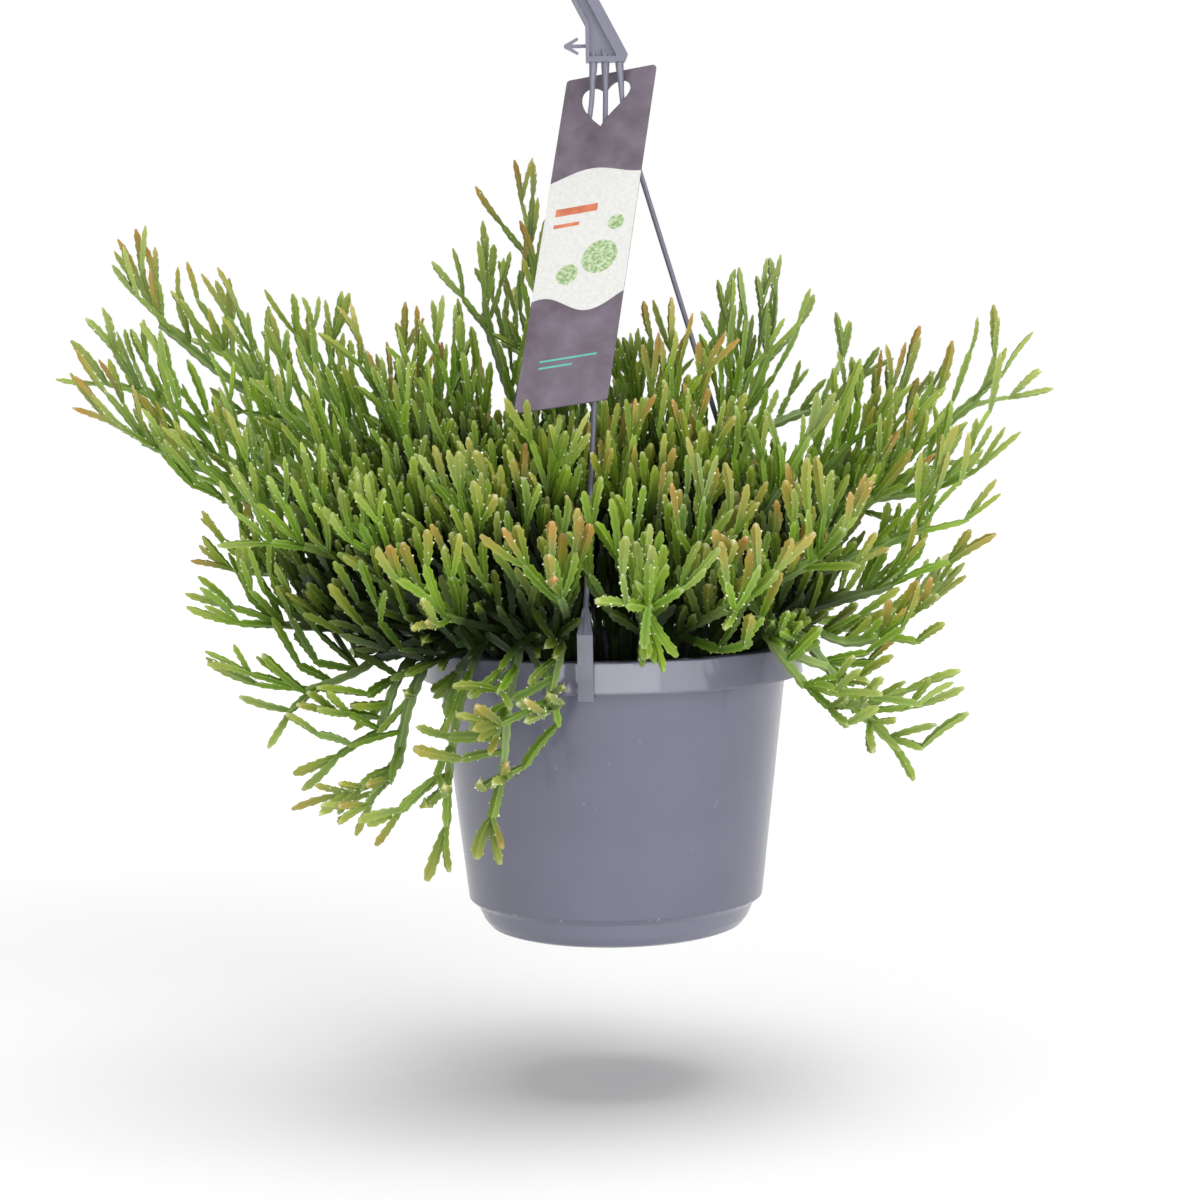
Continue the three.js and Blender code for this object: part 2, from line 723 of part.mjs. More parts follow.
// A limb with three sides through the stations [point, radius], from a flat root to a pointed tip.
// It is a lathe whose rings are moved out along the limb.
function limb(stations) {
  const last = stations.length - 1;
  const profile = stations.map(([, radius], i) => new THREE.Vector2(radius, i));
  const body = new THREE.LatheGeometry(profile, FINGER_SIDES);
  const places = stations.map(([point]) => vector(point));
  let side = new THREE.Vector3(0.3, 0.9, 0.2);
  const frames = places.map((place, i) => {
    const ahead = places[clamp(i + 1, 2, last)];
    const run = ahead.clone().sub(places[Math.max(i - 1, 0)]).normalize();
    const v = side.clone().cross(run).normalize();
    side = run.clone().cross(v);
    return { place, u: side, v };
  });
  const position = body.attributes.position;
  for (let k = 0; k < position.count; k += 1) {
    const { place, u, v } = frames[k % stations.length];
    const spot = place.clone().addScaledVector(u, position.getX(k)).addScaledVector(v, position.getZ(k));
    position.setXYZ(k, spot.x, spot.y, spot.z);
  }
  return solid(body);
}

// Stations of a finger beyond its root: swollen half way, then slim at its joint or blunt at its tip
function fingerStations({ a, aim, length, radius, tip }) {
  const at = (part) => plus(a, aim, part * length);
  const swell = [at(0.42), 0.98 * radius];
  if (tip) return [swell, [at(JOINT), 0.62 * radius], ...fingerStations(tip)];
  return [swell, [at(0.9), 0.82 * radius], [at(1.03), 0]];
}

function stemLimb({ points, tip }) {
  const root = [[points[0], 0], [points[0], STEM_RADIUS]];
  const run = points.slice(1, -1).map((point) => [point, STEM_RADIUS]);
  const end = points[points.length - 1];
  if (!tip) return limb([...root, ...run, [end, 0]]);
  return limb([...root, ...run, [end, 0.75 * STEM_RADIUS], ...fingerStations(tip)]);
}

const fingerLimb = (finger) =>
  limb([[finger.a, 0], [finger.a, 0.36 * finger.radius], ...fingerStations(finger)]);

// The plain hole in the soil that a shoot's root stands in
function holeFor(stem) {
  const root = vector(stem[0]);
  const along = vector(stem[1]).sub(root).normalize();
  const radius = (STEM_RADIUS + CLEARANCE) * Math.SQRT2;
  const options = { depth: 2 * HOLE_DEPTH, bevelEnabled: false };
  const hole = new THREE.ExtrudeGeometry(circleShape(radius, 4), options);
  const turn = new THREE.Quaternion().setFromUnitVectors(new THREE.Vector3(0, 0, 1), along);
  const start = root.addScaledVector(along, -CLEARANCE);
  return solid(hole.applyQuaternion(turn).translate(start.x, start.y, start.z));
}

const group = new THREE.Group();

function addNode(name, geometry, finish) {
  const mesh = new THREE.Mesh(geometry, finish);
  mesh.name = name;
  group.add(mesh);
}

const shoots = growAll();
addNode("pot", makePot(), PLASTIC);
addNode("soil", makeSoil(shoots.map((shoot) => holeFor(shoot.lines[0].points))), EARTH);
addNode("hanger", makeHanger(), PLASTIC);
addNode("tag", makeTag(), CARD);
shoots.forEach((shoot, i) => {
  const separate = shoot.fingers.filter((finger) => !finger.leads);
  const bodies = [...shoot.lines.map(stemLimb), ...separate.map(fingerLimb)];
  addNode("shoot_" + String(i + 1).padStart(2, "0"), geometryOf(joined(bodies)), GREEN);
});

export default group;
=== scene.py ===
import json
import math

import bmesh
import bpy
import numpy as np
from mathutils import Matrix, Vector
from mathutils.geometry import tessellate_polygon

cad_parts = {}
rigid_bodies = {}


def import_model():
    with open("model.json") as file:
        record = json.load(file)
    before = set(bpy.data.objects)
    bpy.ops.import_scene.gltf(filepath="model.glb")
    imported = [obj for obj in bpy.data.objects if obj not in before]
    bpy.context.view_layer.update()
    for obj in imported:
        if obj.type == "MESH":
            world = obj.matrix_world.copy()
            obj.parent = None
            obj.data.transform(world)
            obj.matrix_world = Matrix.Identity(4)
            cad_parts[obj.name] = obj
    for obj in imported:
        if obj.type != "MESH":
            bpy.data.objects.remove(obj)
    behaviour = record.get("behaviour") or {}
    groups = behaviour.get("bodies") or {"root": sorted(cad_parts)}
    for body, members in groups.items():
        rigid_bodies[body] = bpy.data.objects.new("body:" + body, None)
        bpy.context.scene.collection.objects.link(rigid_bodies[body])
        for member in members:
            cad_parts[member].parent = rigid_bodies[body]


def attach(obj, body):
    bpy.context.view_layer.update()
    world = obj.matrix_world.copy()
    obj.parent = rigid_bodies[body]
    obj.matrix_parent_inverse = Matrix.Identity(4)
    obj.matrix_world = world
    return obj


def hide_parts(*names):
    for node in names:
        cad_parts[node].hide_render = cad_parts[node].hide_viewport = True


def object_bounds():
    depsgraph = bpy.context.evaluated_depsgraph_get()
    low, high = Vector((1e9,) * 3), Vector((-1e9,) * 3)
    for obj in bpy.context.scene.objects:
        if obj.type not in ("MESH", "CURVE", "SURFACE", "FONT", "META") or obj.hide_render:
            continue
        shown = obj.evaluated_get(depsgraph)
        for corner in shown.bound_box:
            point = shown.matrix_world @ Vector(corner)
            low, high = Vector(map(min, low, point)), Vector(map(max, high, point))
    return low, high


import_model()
cad_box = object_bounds()

# All lengths here are millimetres, and meshes are scaled to metres when they are made.
# The origin is the point where the hook bears, +Z is up and the front is -Y.
MM = 0.001

# Heights of the main levels
HUB_BOTTOM = -62
RIM_TOP = -303
POT_HEIGHT = 120
POT_BASE = RIM_TOP - POT_HEIGHT
FLOOR_LEVEL = -490

# Pot
RIM_RADIUS = 80
BAND_HEIGHT = 13
BAND_WALL = 1.4
BAND_DRAFT = 0.9
WALL_TOP_RADIUS = 74
WALL_LOW_RADIUS = 61.9
FOOT_TOP_RADIUS = 58.5
FOOT_FLAT_RADIUS = 49
FOOT_HEIGHT = 12
WALL = 1.4
FLOOR = 1.8
DRAIN_RADIUS = 4
DRAIN_RING = 34
DRAIN_COUNT = 5

# Soil
SOIL_DROP = 14
HOLE_DEPTH = 12
SOIL_LEVEL = RIM_TOP - SOIL_DROP

# Hanger
HOOK_INNER_RADIUS = 13
SHANK_HALF_WIDTH = 5.1
HOOK_HALF_WIDTH = 3.6
HANGER_DEPTH = 7
FLANGE = 1.5
WEB_DEPTH = 2.2
STRAND_RADIUS = 1.1
HUB_X = 2
STRAND_TOPS = [1.4, 7.6, -3.8]
STRAND_AZIMUTHS = [-7.6, 119, -126]
KNEE_DROP = 19
CLIP_WIDTH = 6.2
CLIP_INNER = RIM_RADIUS + 0.3
CLIP_OUTER = CLIP_INNER + 1.6
CLIP_RISE = 12
CLIP_NECK = 10

# Tag
TAG_WIDTH = 38.9
TAG_LENGTH = 154
TAG_SHIFT = -21.3
TAG_THICKNESS = 0.8
TAG_CORNER = 1.6
TAG_BEVEL = 0.08
TAG_ORIGIN = (3.9, 6, -65.9)
TAG_ACROSS = (0.954, -0.268, 0.137)
TAG_UP = (0.014, 0.496, 0.868)

# Cactus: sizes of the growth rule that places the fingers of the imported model
STEM_RADIUS = 2.3
FINGER_RADIUS = 2.6
FINGER_GAP = 0.45
STEM_GAP = 1
OWN_GAP = -0.6
FUSED = -100
CREST_RADIUS = 86
CREST_RISE = 9
OPEN_RADIUS = 72
SEED = 20
JOINT = 0.92
SIDE_PLACES = [0.74, 0.5]
LONG_STEM = 6
STEM_TRIES = 60
FINGER_TRIES = 6
POT_ROOM = 0.7
MOST_RUNS = 16000

# Heads of the shoots as [x, y, height above the rim], one line a shoot.
# The first head ends the shoot's main stem, and any others end branches of it.
SHOOTS = [
    [[-193, -10, 110], [-162, -18, 82]],
    [[-187, 14, 137], [-148, 12, 108]],
    [[-163, 38, 126]],
    [[-188, -34, 88], [-150, -36, 66]],
    [[-122, 26, 112]],
    [[-97, 2, 108]],
    [[-70, 2, 102]],
    [[-52, 42, 138]],
    [[-34, 54, 166], [-44, 66, 126]],
    [[-118, -30, 82]],
    [[-84, -24, 80]],
    [[26, -14, 98]],
    [[57, 20, 112]],
    [[71, 44, 122], [92, 46, 98]],
    [[101, 0, 82]],
    [[129, 10, 90], [112, 28, 76]],
    [[153, 0, 102], [136, -12, 62]],
    [[128, -42, 50]],
    [[116, -30, 24]],
    [[108, -54, 5]],
    [[98, -62, -22], [76, -74, -12]],
    [[-143, -20, 34]],
    [[-134, -34, 14]],
    [[-124, -50, -12]],
    [[-86, -70, -42], [-94, -56, -28]],
    [[-66, -92, -46]],
    [[-44, -99, -40], [-26, -102, -14]],
    [[-55, -88, 54]],
    [[14, -118, 26]],
    [[-90, -78, 42]],
    [[-122, -60, 48]],
    [[-24, -60, 64]],
    [[49, -100, 24]],
    [[83, -72, 40]],
    [[4, -50, 64]],
    [[38, -42, 72]],
    [[-20, -112, 30]],
    [[-64, -98, 16]],
    [[107, -20, 60]],
    [[69, -42, 66]],
    [[35, -80, 42]],
    [[12, 20, 92]],
    [[-132, 70, 56], [-150, 54, 84]],
    [[-100, 100, 36]],
    [[-62, 88, 84]],
    [[-38, 132, 38]],
    [[4, 100, 78]],
    [[34, 140, 28]],
    [[60, 90, 84]],
    [[100, 82, 58], [132, 52, 66]],
    [[86, 118, 16]],
    [[-90, 48, 88]],
    [[-112, 84, -8]],
    [[-12, 118, -16]],
    [[118, 62, -2]],
]


# Meshes

def new_object(name, data):
    """An object of the scene that holds the data."""
    made = bpy.data.objects.new(name, data)
    bpy.context.scene.collection.objects.link(made)
    return made


def evaluated_mesh(piece):
    """A mesh of the piece as its modifiers or curve settings leave it."""
    graph = bpy.context.evaluated_depsgraph_get()
    return bpy.data.meshes.new_from_object(piece.evaluated_get(graph))


def apply_modifiers(piece):
    mesh = evaluated_mesh(piece)
    piece.modifiers.clear()
    piece.data = mesh


def sharpen(piece, degrees):
    """Makes a piece smooth, apart from its edges that are steeper than the angle."""
    piece.data.polygons.foreach_set("use_smooth", np.full(len(piece.data.polygons), True))
    piece.data.set_sharp_from_angle(angle=math.radians(degrees))


def add_piece(name, vertices, triangles, material, slot, nodes, attributes=None, smooth=True):
    """A mesh piece in millimetres that rides on the body and stands for the nodes."""
    vertices = np.asarray(vertices, dtype=np.float64) * MM
    triangles = np.asarray(triangles, dtype=np.int32)
    mesh = bpy.data.meshes.new(name)
    mesh.vertices.add(len(vertices))
    mesh.vertices.foreach_set("co", vertices.astype(np.float32).ravel())
    mesh.loops.add(triangles.size)
    mesh.loops.foreach_set("vertex_index", triangles.ravel())
    mesh.polygons.add(len(triangles))
    mesh.polygons.foreach_set("loop_start", np.arange(0, triangles.size, 3, dtype=np.int32))
    mesh.polygons.foreach_set("loop_total", np.full(len(triangles), 3, dtype=np.int32))
    mesh.polygons.foreach_set("use_smooth", np.full(len(triangles), smooth))
    mesh.update(calc_edges=True)
    for key, values in (attributes or {}).items():
        layer = mesh.color_attributes.new(key, "FLOAT_COLOR", "POINT")
        layer.data.foreach_set("color", np.asarray(values, dtype=np.float32).ravel())
    mesh.materials.append(material)
    return dress(new_object(name, mesh), slot, nodes)


def dress(piece, slot, nodes):
    """Puts a piece on the body and hides the nodes that it stands for. Its finish, slot, is not used."""
    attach(piece, "root")
    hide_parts(*nodes)
    return piece


def once_round(count):
    """Angles that go once round in so many steps."""
    return [2 * math.pi * k / count for k in range(count)]


def polar(radius, angle):
    return radius * math.cos(angle), radius * math.sin(angle)


def sleeve_faces(rings, sides):
    """Triangles of a closed sleeve of rings, whose two poles come after the ring vertices."""
    faces = []
    for ring in range(rings - 1):
        for side in range(sides):
            a = ring * sides + side
            b = ring * sides + (side + 1) % sides
            faces += [(a, b, b + sides), (a, b + sides, a + sides)]
    low = rings * sides
    top = (rings - 1) * sides
    for side in range(sides):
        beside = (side + 1) % sides
        faces.append((low, beside, side))
        faces.append((low + 1, top + side, top + beside))
    return np.array(faces)


def spline(points, per_run):
    """Points of a Catmull-Rom curve through the given ones."""
    points = np.asarray(points, dtype=float)
    ends = np.vstack([2 * points[0] - points[1], points, 2 * points[-1] - points[-2]])
    curve = []
    for i in range(1, len(ends) - 2):
        p, q, r, s = ends[i - 1:i + 3]
        for k in range(per_run):
            t = k / per_run
            curve.append(0.5 * (2 * q + (r - p) * t + (2 * p - 5 * q + 4 * r - s) * t ** 2
                                + (3 * q - p - 3 * r + s) * t ** 3))
    curve.append(points[-1])
    return np.array(curve)


def run_frames(points):
    """The run and two square directions at each point of a line, without twist."""
    runs = np.gradient(points, axis=0)
    runs /= np.linalg.norm(runs, axis=1)[:, None]
    u = np.cross(runs[0], (0.31, 0.9, 0.2))
    frames = []
    for run in runs:
        u = u - run * np.dot(u, run)
        u = u / np.linalg.norm(u)
        frames.append((u, np.cross(run, u)))
    return frames


def swept(points, reaches):
    """A closed skin along points, from its reach on each side at each point."""
    sides = reaches.shape[1]
    angles = np.array(once_round(sides))[:, None]
    frames = np.array(run_frames(points))
    around = frames[:, :1] * np.cos(angles) + frames[:, 1:] * np.sin(angles)
    rings = points[:, None] + around * reaches[..., None]
    return np.vstack([rings.reshape(-1, 3), points[0], points[-1]]), sleeve_faces(len(points), sides)


def merged(parts):
    """One vertex and one triangle array from several."""
    vertices, faces, start = [], [], 0
    for points, triangles in parts:
        vertices.append(points)
        faces.append(np.asarray(triangles) + start)
        start += len(points)
    return np.vstack(vertices), np.vstack(faces)


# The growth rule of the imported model, in the same plain arithmetic

def plus(a, b, k):
    return [a[0] + b[0] * k, a[1] + b[1] * k, a[2] + b[2] * k]


def scaled(a, k):
    return [a[0] * k, a[1] * k, a[2] * k]


def minus(a, b):
    return [a[0] - b[0], a[1] - b[1], a[2] - b[2]]


def dot(a, b):
    return a[0] * b[0] + a[1] * b[1] + a[2] * b[2]


def cross(a, b):
    return [a[1] * b[2] - a[2] * b[1], a[2] * b[0] - a[0] * b[2], a[0] * b[1] - a[1] * b[0]]


def unit(a):
    size = math.sqrt(dot(a, a))
    return [a[0] / size, a[1] / size, a[2] / size]


def snap(value):
    return math.floor(value * 1e9 + 0.5) / 1e9


def clamp(value, low, high):
    return min(max(value, low), high)


def outward(side, reach, height):
    """The point at a reach from the axis, on the side that a level direction points to."""
    return [side[0] * reach, side[1] * reach, height]


def draws_from(seed):
    """Seeded draws between 0 and 1."""
    mask = 0xFFFFFFFF
    state = seed & mask

    def draw():
        nonlocal state
        state = (state + 0x6D2B79F5) & mask
        mixed = ((state ^ (state >> 15)) * (state | 1)) & mask
        mixed ^= (mixed + (mixed ^ (mixed >> 7)) * (mixed | 61)) & mask
        return (mixed ^ (mixed >> 14)) / 4294967296

    return draw


def shift_from(draw):
    return [draw() - 0.5 for _ in range(3)]


class Taken:
    """The runs that are taken already, as capsules in arrays."""

    def __init__(self):
        self.a = np.zeros((MOST_RUNS, 3))
        self.run = np.zeros((MOST_RUNS, 3))
        self.radius = np.zeros(MOST_RUNS)
        self.owner = np.zeros(MOST_RUNS, dtype=int)
        self.count = 0

    def add(self, a, b, radius, owner):
        i = self.count
        self.a[i] = a
        self.run[i] = minus(b, a)
        self.radius[i] = radius
        self.owner[i] = owner
        self.count += 1

    def distances(self, a, b, chosen):
        """Shortest distances between the run a-b and each chosen run."""
        u = np.array(b) - np.array(a)
        v = self.run[:self.count][chosen]
        w = np.array(a) - self.a[:self.count][chosen]
        uu = u @ u
        vv = np.einsum("ij,ij->i", v, v)
        uv = v @ u
        uw = w @ u
        vw = np.einsum("ij,ij->i", v, w)
        wide = uu * vv - uv * uv
        safe = np.where(wide > 1e-9, wide, 1)
        s = np.where(wide > 1e-9, np.clip((uv * vw - vv * uw) / safe, 0, 1), 0)
        t = np.clip((uv * s + vw) / vv, 0, 1)
        s = np.clip((uv * t - uw) / uu, 0, 1)
        gap = w + u * s[:, None] - v * t[:, None]
        return np.sqrt(np.einsum("ij,ij->i", gap, gap))

    def clear(self, a, b, radius, owner, gap, own_gap):
        """Whether a run is clear of all of them. Half of it is free to fuse with its own shoot."""
        mine = self.owner[:self.count] == owner
        own = plus(a, minus(b, a), 0.5)
        for start, chosen, room in ((a, ~mine, gap), (own, mine, own_gap)):
            if room == FUSED or not chosen.any():
                continue
            apart = self.distances(start, b, chosen)
            if (apart < radius + self.radius[:self.count][chosen] + room).any():
                return False
        return True


taken = Taken()


def clear_of_pot(a, b, radius):
    """A run stays above the rim, outside the pot, or inside it above the soil."""
    room = radius + POT_ROOM
    for k in range(5):
        p = plus(a, minus(b, a), k / 4)
        out = math.sqrt(p[0] * p[0] + p[1] * p[1])
        outside = out > RIM_RADIUS + room
        within = out < OPEN_RADIUS - room and p[2] > SOIL_LEVEL + room
        if p[2] < RIM_TOP + room and not outside and not within:
            return False
    return True


def fits(a, b, radius, owner, gap, own_gap=OWN_GAP):
    return clear_of_pot(a, b, radius) and taken.clear(a, b, radius, owner, gap, own_gap)


def strand_points(index):
    """Points of one strand, from inside the hub down to its clip's neck."""
    x = STRAND_TOPS[index]
    knee = [x, 0, HUB_BOTTOM - KNEE_DROP]
    angle = math.radians(STRAND_AZIMUTHS[index])
    middle = (CLIP_INNER + CLIP_OUTER) / 2
    end = [math.sin(angle) * middle, -math.cos(angle) * middle, RIM_TOP + CLIP_RISE]
    along = minus(end, knee)
    return [[x, 0, HUB_BOTTOM + 4], [x, 0, HUB_BOTTOM - 5], plus(knee, along, 0.06),
            plus(knee, along, 0.4), end]


def block(points, radius):
    for a, b in zip(points, points[1:]):
        taken.add(a, b, radius, -1)


def block_hanger():
    for index in range(len(STRAND_TOPS)):
        points = [[snap(part) for part in point] for point in strand_points(index)]
        block(points, STRAND_RADIUS + 0.6)
        x, y, _ = points[-1]
        block([[x, y, RIM_TOP - 14], [x, y, RIM_TOP + 24]], 4.4)


def block_tag():
    down = [-part for part in TAG_UP]
    for side in (-18, -9, 0, 9, 18):
        top = plus(TAG_ORIGIN, TAG_ACROSS, side)
        foot = plus(plus(top, down, TAG_LENGTH), TAG_ACROSS, TAG_SHIFT)
        block([top, foot], 5.2)


def bezier(p, q, r, s, steps):
    points = []
    for i in range(1, steps + 1):
        t = i / steps
        w = 1 - t
        start = scaled(p, w * w * w)
        rise = plus(start, q, 3 * w * w * t)
        points.append(plus(plus(rise, r, 3 * w * t * t), s, t * t * t))
    return points


def habit(head):
    """Which way a head faces: upright over the pot, leaning out at its sides, down below its rim."""
    out = unit([head[0], head[1], 0])
    height = head[2] - RIM_TOP
    steep = height / math.sqrt(head[0] * head[0] + head[1] * head[1])
    lean = clamp(1.7 - 1.7 * steep, 0.05, 3)
    growth = unit([out[0] * lean, out[1] * lean, clamp(1 + 3.5 * steep, -0.9, 1)])
    outer = 1.5 * lean + 0.3 if steep > 0.1 else 1
    arrival = unit([out[0] * outer, out[1] * outer, clamp(1 + 9 * steep, -1.6, 1)])
    return out, steep, growth, arrival


def curve_to(start, heading, end, arrival):
    gap = minus(end, start)
    span = math.sqrt(dot(gap, gap))
    steps = clamp(math.floor(span / 26 + 0.5), 2, 6)
    first = plus(start, heading, 0.36 * span)
    second = plus(end, arrival, -0.3 * span)
    return bezier(start, first, second, end, steps)


def stem_to(start, heading, head, arrival):
    """The run to a head. A head below the rim is reached by way of a point just over it."""
    if head[2] > RIM_TOP + 8:
        return curve_to(start, heading, head, arrival)
    side = unit([head[0], head[1], 0])
    crest = outward(side, CREST_RADIUS, RIM_TOP + CREST_RISE)
    over = unit([side[0], side[1], -0.3])
    return curve_to(start, heading, crest, over) + curve_to(crest, over, head, arrival)


def line_fits(points, owner, first):
    return all(fits(points[i - 1], points[i], STEM_RADIUS, owner, STEM_GAP, FUSED)
               for i in range(first, len(points)))


def grow_stem(head, owner, draw):
    """The main stem of a shoot, tried with small changes until it is clear."""
    out, steep, _, arrival = habit(head)
    for turn in range(STEM_TRIES):
        sway = (draw() - 0.5) * (0.3 + 0.03 * turn)
        ring = clamp(58 - 30 * steep, 12, 57) + (draw() - 0.5) * (4 + 0.5 * turn)
        end = plus(head, shift_from(draw), 2 + 0.4 * turn)
        side = unit([out[0] - out[1] * sway, out[1] + out[0] * sway, 0])
        root = outward(side, clamp(ring, 8, 60), SOIL_LEVEL - HOLE_DEPTH)
        heading = unit([side[0] * 0.25, side[1] * 0.25, 1])
        collar = plus(root, heading, HOLE_DEPTH + 6)
        points = [root, collar] + stem_to(collar, heading, end, arrival)
        surface = plus(root, heading, HOLE_DEPTH + 4)
        if fits(surface, collar, STEM_RADIUS, owner, STEM_GAP) and line_fits(points, owner, 2):
            return points
    raise RuntimeError("no room for the main stem of shoot %d" % (owner + 1))


def grow_branch(stem, head, owner, draw):
    """A branch of a main stem that ends in a head of its own."""
    arrival = habit(head)[3]
    for turn in range(STEM_TRIES):
        part = 0.4 + 0.35 * draw()
        at = clamp(math.floor(len(stem) * part), 2, len(stem) - 2)
        end = plus(head, shift_from(draw), 2 + 0.4 * turn)
        heading = unit(minus(stem[at + 1], stem[at]))
        points = [stem[at]] + stem_to(stem[at], heading, end, arrival)
        if line_fits(points, owner, 1):
            return points
    raise RuntimeError("no room for a branch of shoot %d" % (owner + 1))


def take_line(points, owner):
    for a, b in zip(points, points[1:]):
        taken.add(a, b, STEM_RADIUS, owner)


def leaning(direction, lean, turn, lift):
    """A direction that leans from another by an angle, at a turn about it."""
    level = [1, 0, 0] if abs(direction[2]) > 0.9 else [0, 0, 1]
    u = unit(cross(direction, level))
    v = cross(direction, u)
    side = snap(math.sin(lean))
    along = snap(math.cos(lean))
    edge = plus(scaled(u, snap(math.cos(turn))), v, snap(math.sin(turn)))
    aimed = plus(scaled(direction, along), edge, side)
    return unit([aimed[0], aimed[1], aimed[2] + lift])


# Habits of fingers: how far they lean, how much that varies, how they turn up, and their length
FIRST = {"lean": 0.62, "spread": 0.3, "lift": 0.12, "length": 23}
SECOND = {"lean": 0.36, "spread": 0.3, "lift": 0.16, "length": 20}
SIDE = {"lean": 0.85, "spread": 0.3, "lift": 0.3, "length": 20}


def whorl(joint, step, direction, count, rule, owner, draw):
    """Fingers at a joint, each a step further back than the one before, where they find room."""
    grown = []
    offset = draw() * 2 * math.pi
    for i in range(count):
        start = plus(joint, step, -i)
        for turn in range(FINGER_TRIES):
            wide = rule["lean"] + rule["spread"] * (draw() - 0.5) + 0.05 * turn
            lean = wide * 0.4 if i == 0 and count > 1 else wide
            angle = offset + (i + 0.5 * (draw() - 0.5) + 0.15 * turn) * ((2 * math.pi) / count)
            length = rule["length"] * (0.8 + 0.4 * draw())
            aim = leaning(direction, lean, angle, rule["lift"])
            end = plus(start, aim, length)
            if not fits(start, end, FINGER_RADIUS, owner, FINGER_GAP):
                continue
            grown.append({"a": start, "b": end, "length": length, "aim": aim, "order": 1})
            break
    for finger in grown:
        taken.add(finger["a"], finger["b"], FINGER_RADIUS, owner)
    return grown


def extend(finger, owner, draw):
    """The next finger on the end of one."""
    joint = plus(finger["a"], finger["aim"], JOINT * finger["length"])
    grown = whorl(joint, finger["aim"], finger["aim"], 1, SECOND, owner, draw)
    for after in grown:
        after["order"] = 2
    finger["borne"] = len(grown)
    return grown


def grow_head(points, count, owner, draw):
    end = points[-1]
    last = unit(minus(end, points[-2]))
    heading = unit(plus(last, habit(end)[2], 1.5))
    fingers = whorl(end, scaled(last, 4.5), heading, count, FIRST, owner, draw)
    tips = [tip for finger in fingers for tip in extend(finger, owner, draw)]
    return fingers + tips


def grow_side(points, part, owner, draw):
    at = math.floor((len(points) - 1) * part)
    direction = unit(minus(points[at + 1], points[at]))
    grown = whorl(points[at], direction, direction, 1, SIDE, owner, draw)
    return grown + [tip for finger in grown for tip in extend(finger, owner, draw)]


def grow_all():
    """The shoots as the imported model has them."""
    block_hanger()
    block_tag()
    shoots = []
    for owner, heads in enumerate(SHOOTS):
        draw = draws_from(SEED + owner)
        places = [[x, y, RIM_TOP + height] for x, y, height in heads]
        lines = [grow_stem(places[0], owner, draw)]
        take_line(lines[0], owner)
        for place in places[1:]:
            lines.append(grow_branch(lines[0], place, owner, draw))
            take_line(lines[-1], owner)
        shoots.append({"owner": owner, "draw": draw, "lines": lines, "fingers": []})
    for shoot in shoots:
        for i, line in enumerate(shoot["lines"]):
            shoot["fingers"] += grow_head(line, 3 if i == 0 else 2, shoot["owner"], shoot["draw"])
    for part in SIDE_PLACES:
        for shoot in shoots:
            line = shoot["lines"][0]
            if part == SIDE_PLACES[0] or len(line) >= LONG_STEM:
                shoot["fingers"] += grow_side(line, part, shoot["owner"], shoot["draw"])
    return shoots


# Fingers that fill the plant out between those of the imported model

THICK_SEED = 400
THICK_RADIUS = 1.9
# Room between fingers, where less than nought lets them press into each other
THICK_GAP = -0.6
INNER_GAP = -1.3
BOX_MARGIN = 0.8
# How far a shoot's added fingers may go past its own tips, and stand off its own runs
REACH_SLACK = 3
NEAR_RUNS = 12
# The ring over the rim band that only hanging shoots may cross
RIM_CLEAR = 6
BAND_CLEAR = 24
# Where a few fingers spill over the front of the rim: places across, heights above it, and their way
SPILL_SPAN = (2, 28)
SPILL_HEIGHTS = (4, 26)
SPILL_WAY = (0.1, -0.3, -0.95)
# A finger is tried a little longer than it is made
TRIED_LENGTH = 1.06
MORE_TRIES = 3
HEAD_MORE = {"lean": 0.42, "spread": 0.5, "lift": 0.75, "length": 22}
CHILD = {"lean": 0.34, "spread": 0.5, "lift": 0.8, "length": 20}
STEM_SIDE = {"lean": 0.55, "spread": 0.6, "lift": 0.9, "length": 21}
INNER_SIDE = {"lean": 0.75, "spread": 0.8, "lift": 0.9, "length": 19}
SPILL_SIDE = {"lean": 0.35, "spread": 0.5, "lift": 0, "length": 21}
# The thick of the plant, as the middle and half sizes of an ellipsoid, and the part of it where
# fingers needn't keep to their shoot's form
THICK_MIDDLE = (-32, 0, RIM_TOP + 42)
THICK_SIZE = (145, 112, 66)
WITHIN = 0.92
# The chance that a finger is tried falls with the distance from the middle, down to one of these.
# The tall shoots on the left, and the low and hanging ones, are thick with fingers to their tips.
MIDDLE_CHANCE = 2.1
CHANCE_FALL = 1.2
THIN_CHANCE = 0.22
TALL_CHANCE = 0.5
TALL_SIDE = -20
TALL_HEIGHT = RIM_TOP + 84
HANGING_CHANCE = 0.62
LOW_HEAD = RIM_TOP + 40
# Where more fingers fill the inside of the plant
INNER_RADIUS = 125
INNER_HEIGHTS = (2, 80)


def reach_of(shoot):
    """The direction a shoot grows in, and how far its own fingers reach that way."""
    growth = habit(shoot["lines"][0][-1])[2]
    return growth, max(dot(finger["b"], growth) for finger in shoot["fingers"])


def runs_of(shoot):
    """Starts and runs of the shoot's fingers and stems, in arrays."""
    runs = [(finger["a"], finger["b"]) for finger in shoot["fingers"]]
    runs += [pair for line in shoot["lines"] for pair in zip(line, line[1:])]
    starts = np.array([a for a, _ in runs])
    return starts, np.array([b for _, b in runs]) - starts


def keeps_form(point, shoot):
    """Whether a point lies close enough to the shoot's own runs, and not past its tips."""
    growth, reach = shoot["reach"]
    if dot(point, growth) > reach + REACH_SLACK:
        return False
    starts, runs = shoot["runs"]
    w = np.array(point) - starts
    t = np.clip(np.einsum("ij,ij->i", w, runs) / np.einsum("ij,ij->i", runs, runs), 0, 1)
    gap = w - runs * t[:, None]
    return np.einsum("ij,ij->i", gap, gap).min() < NEAR_RUNS ** 2


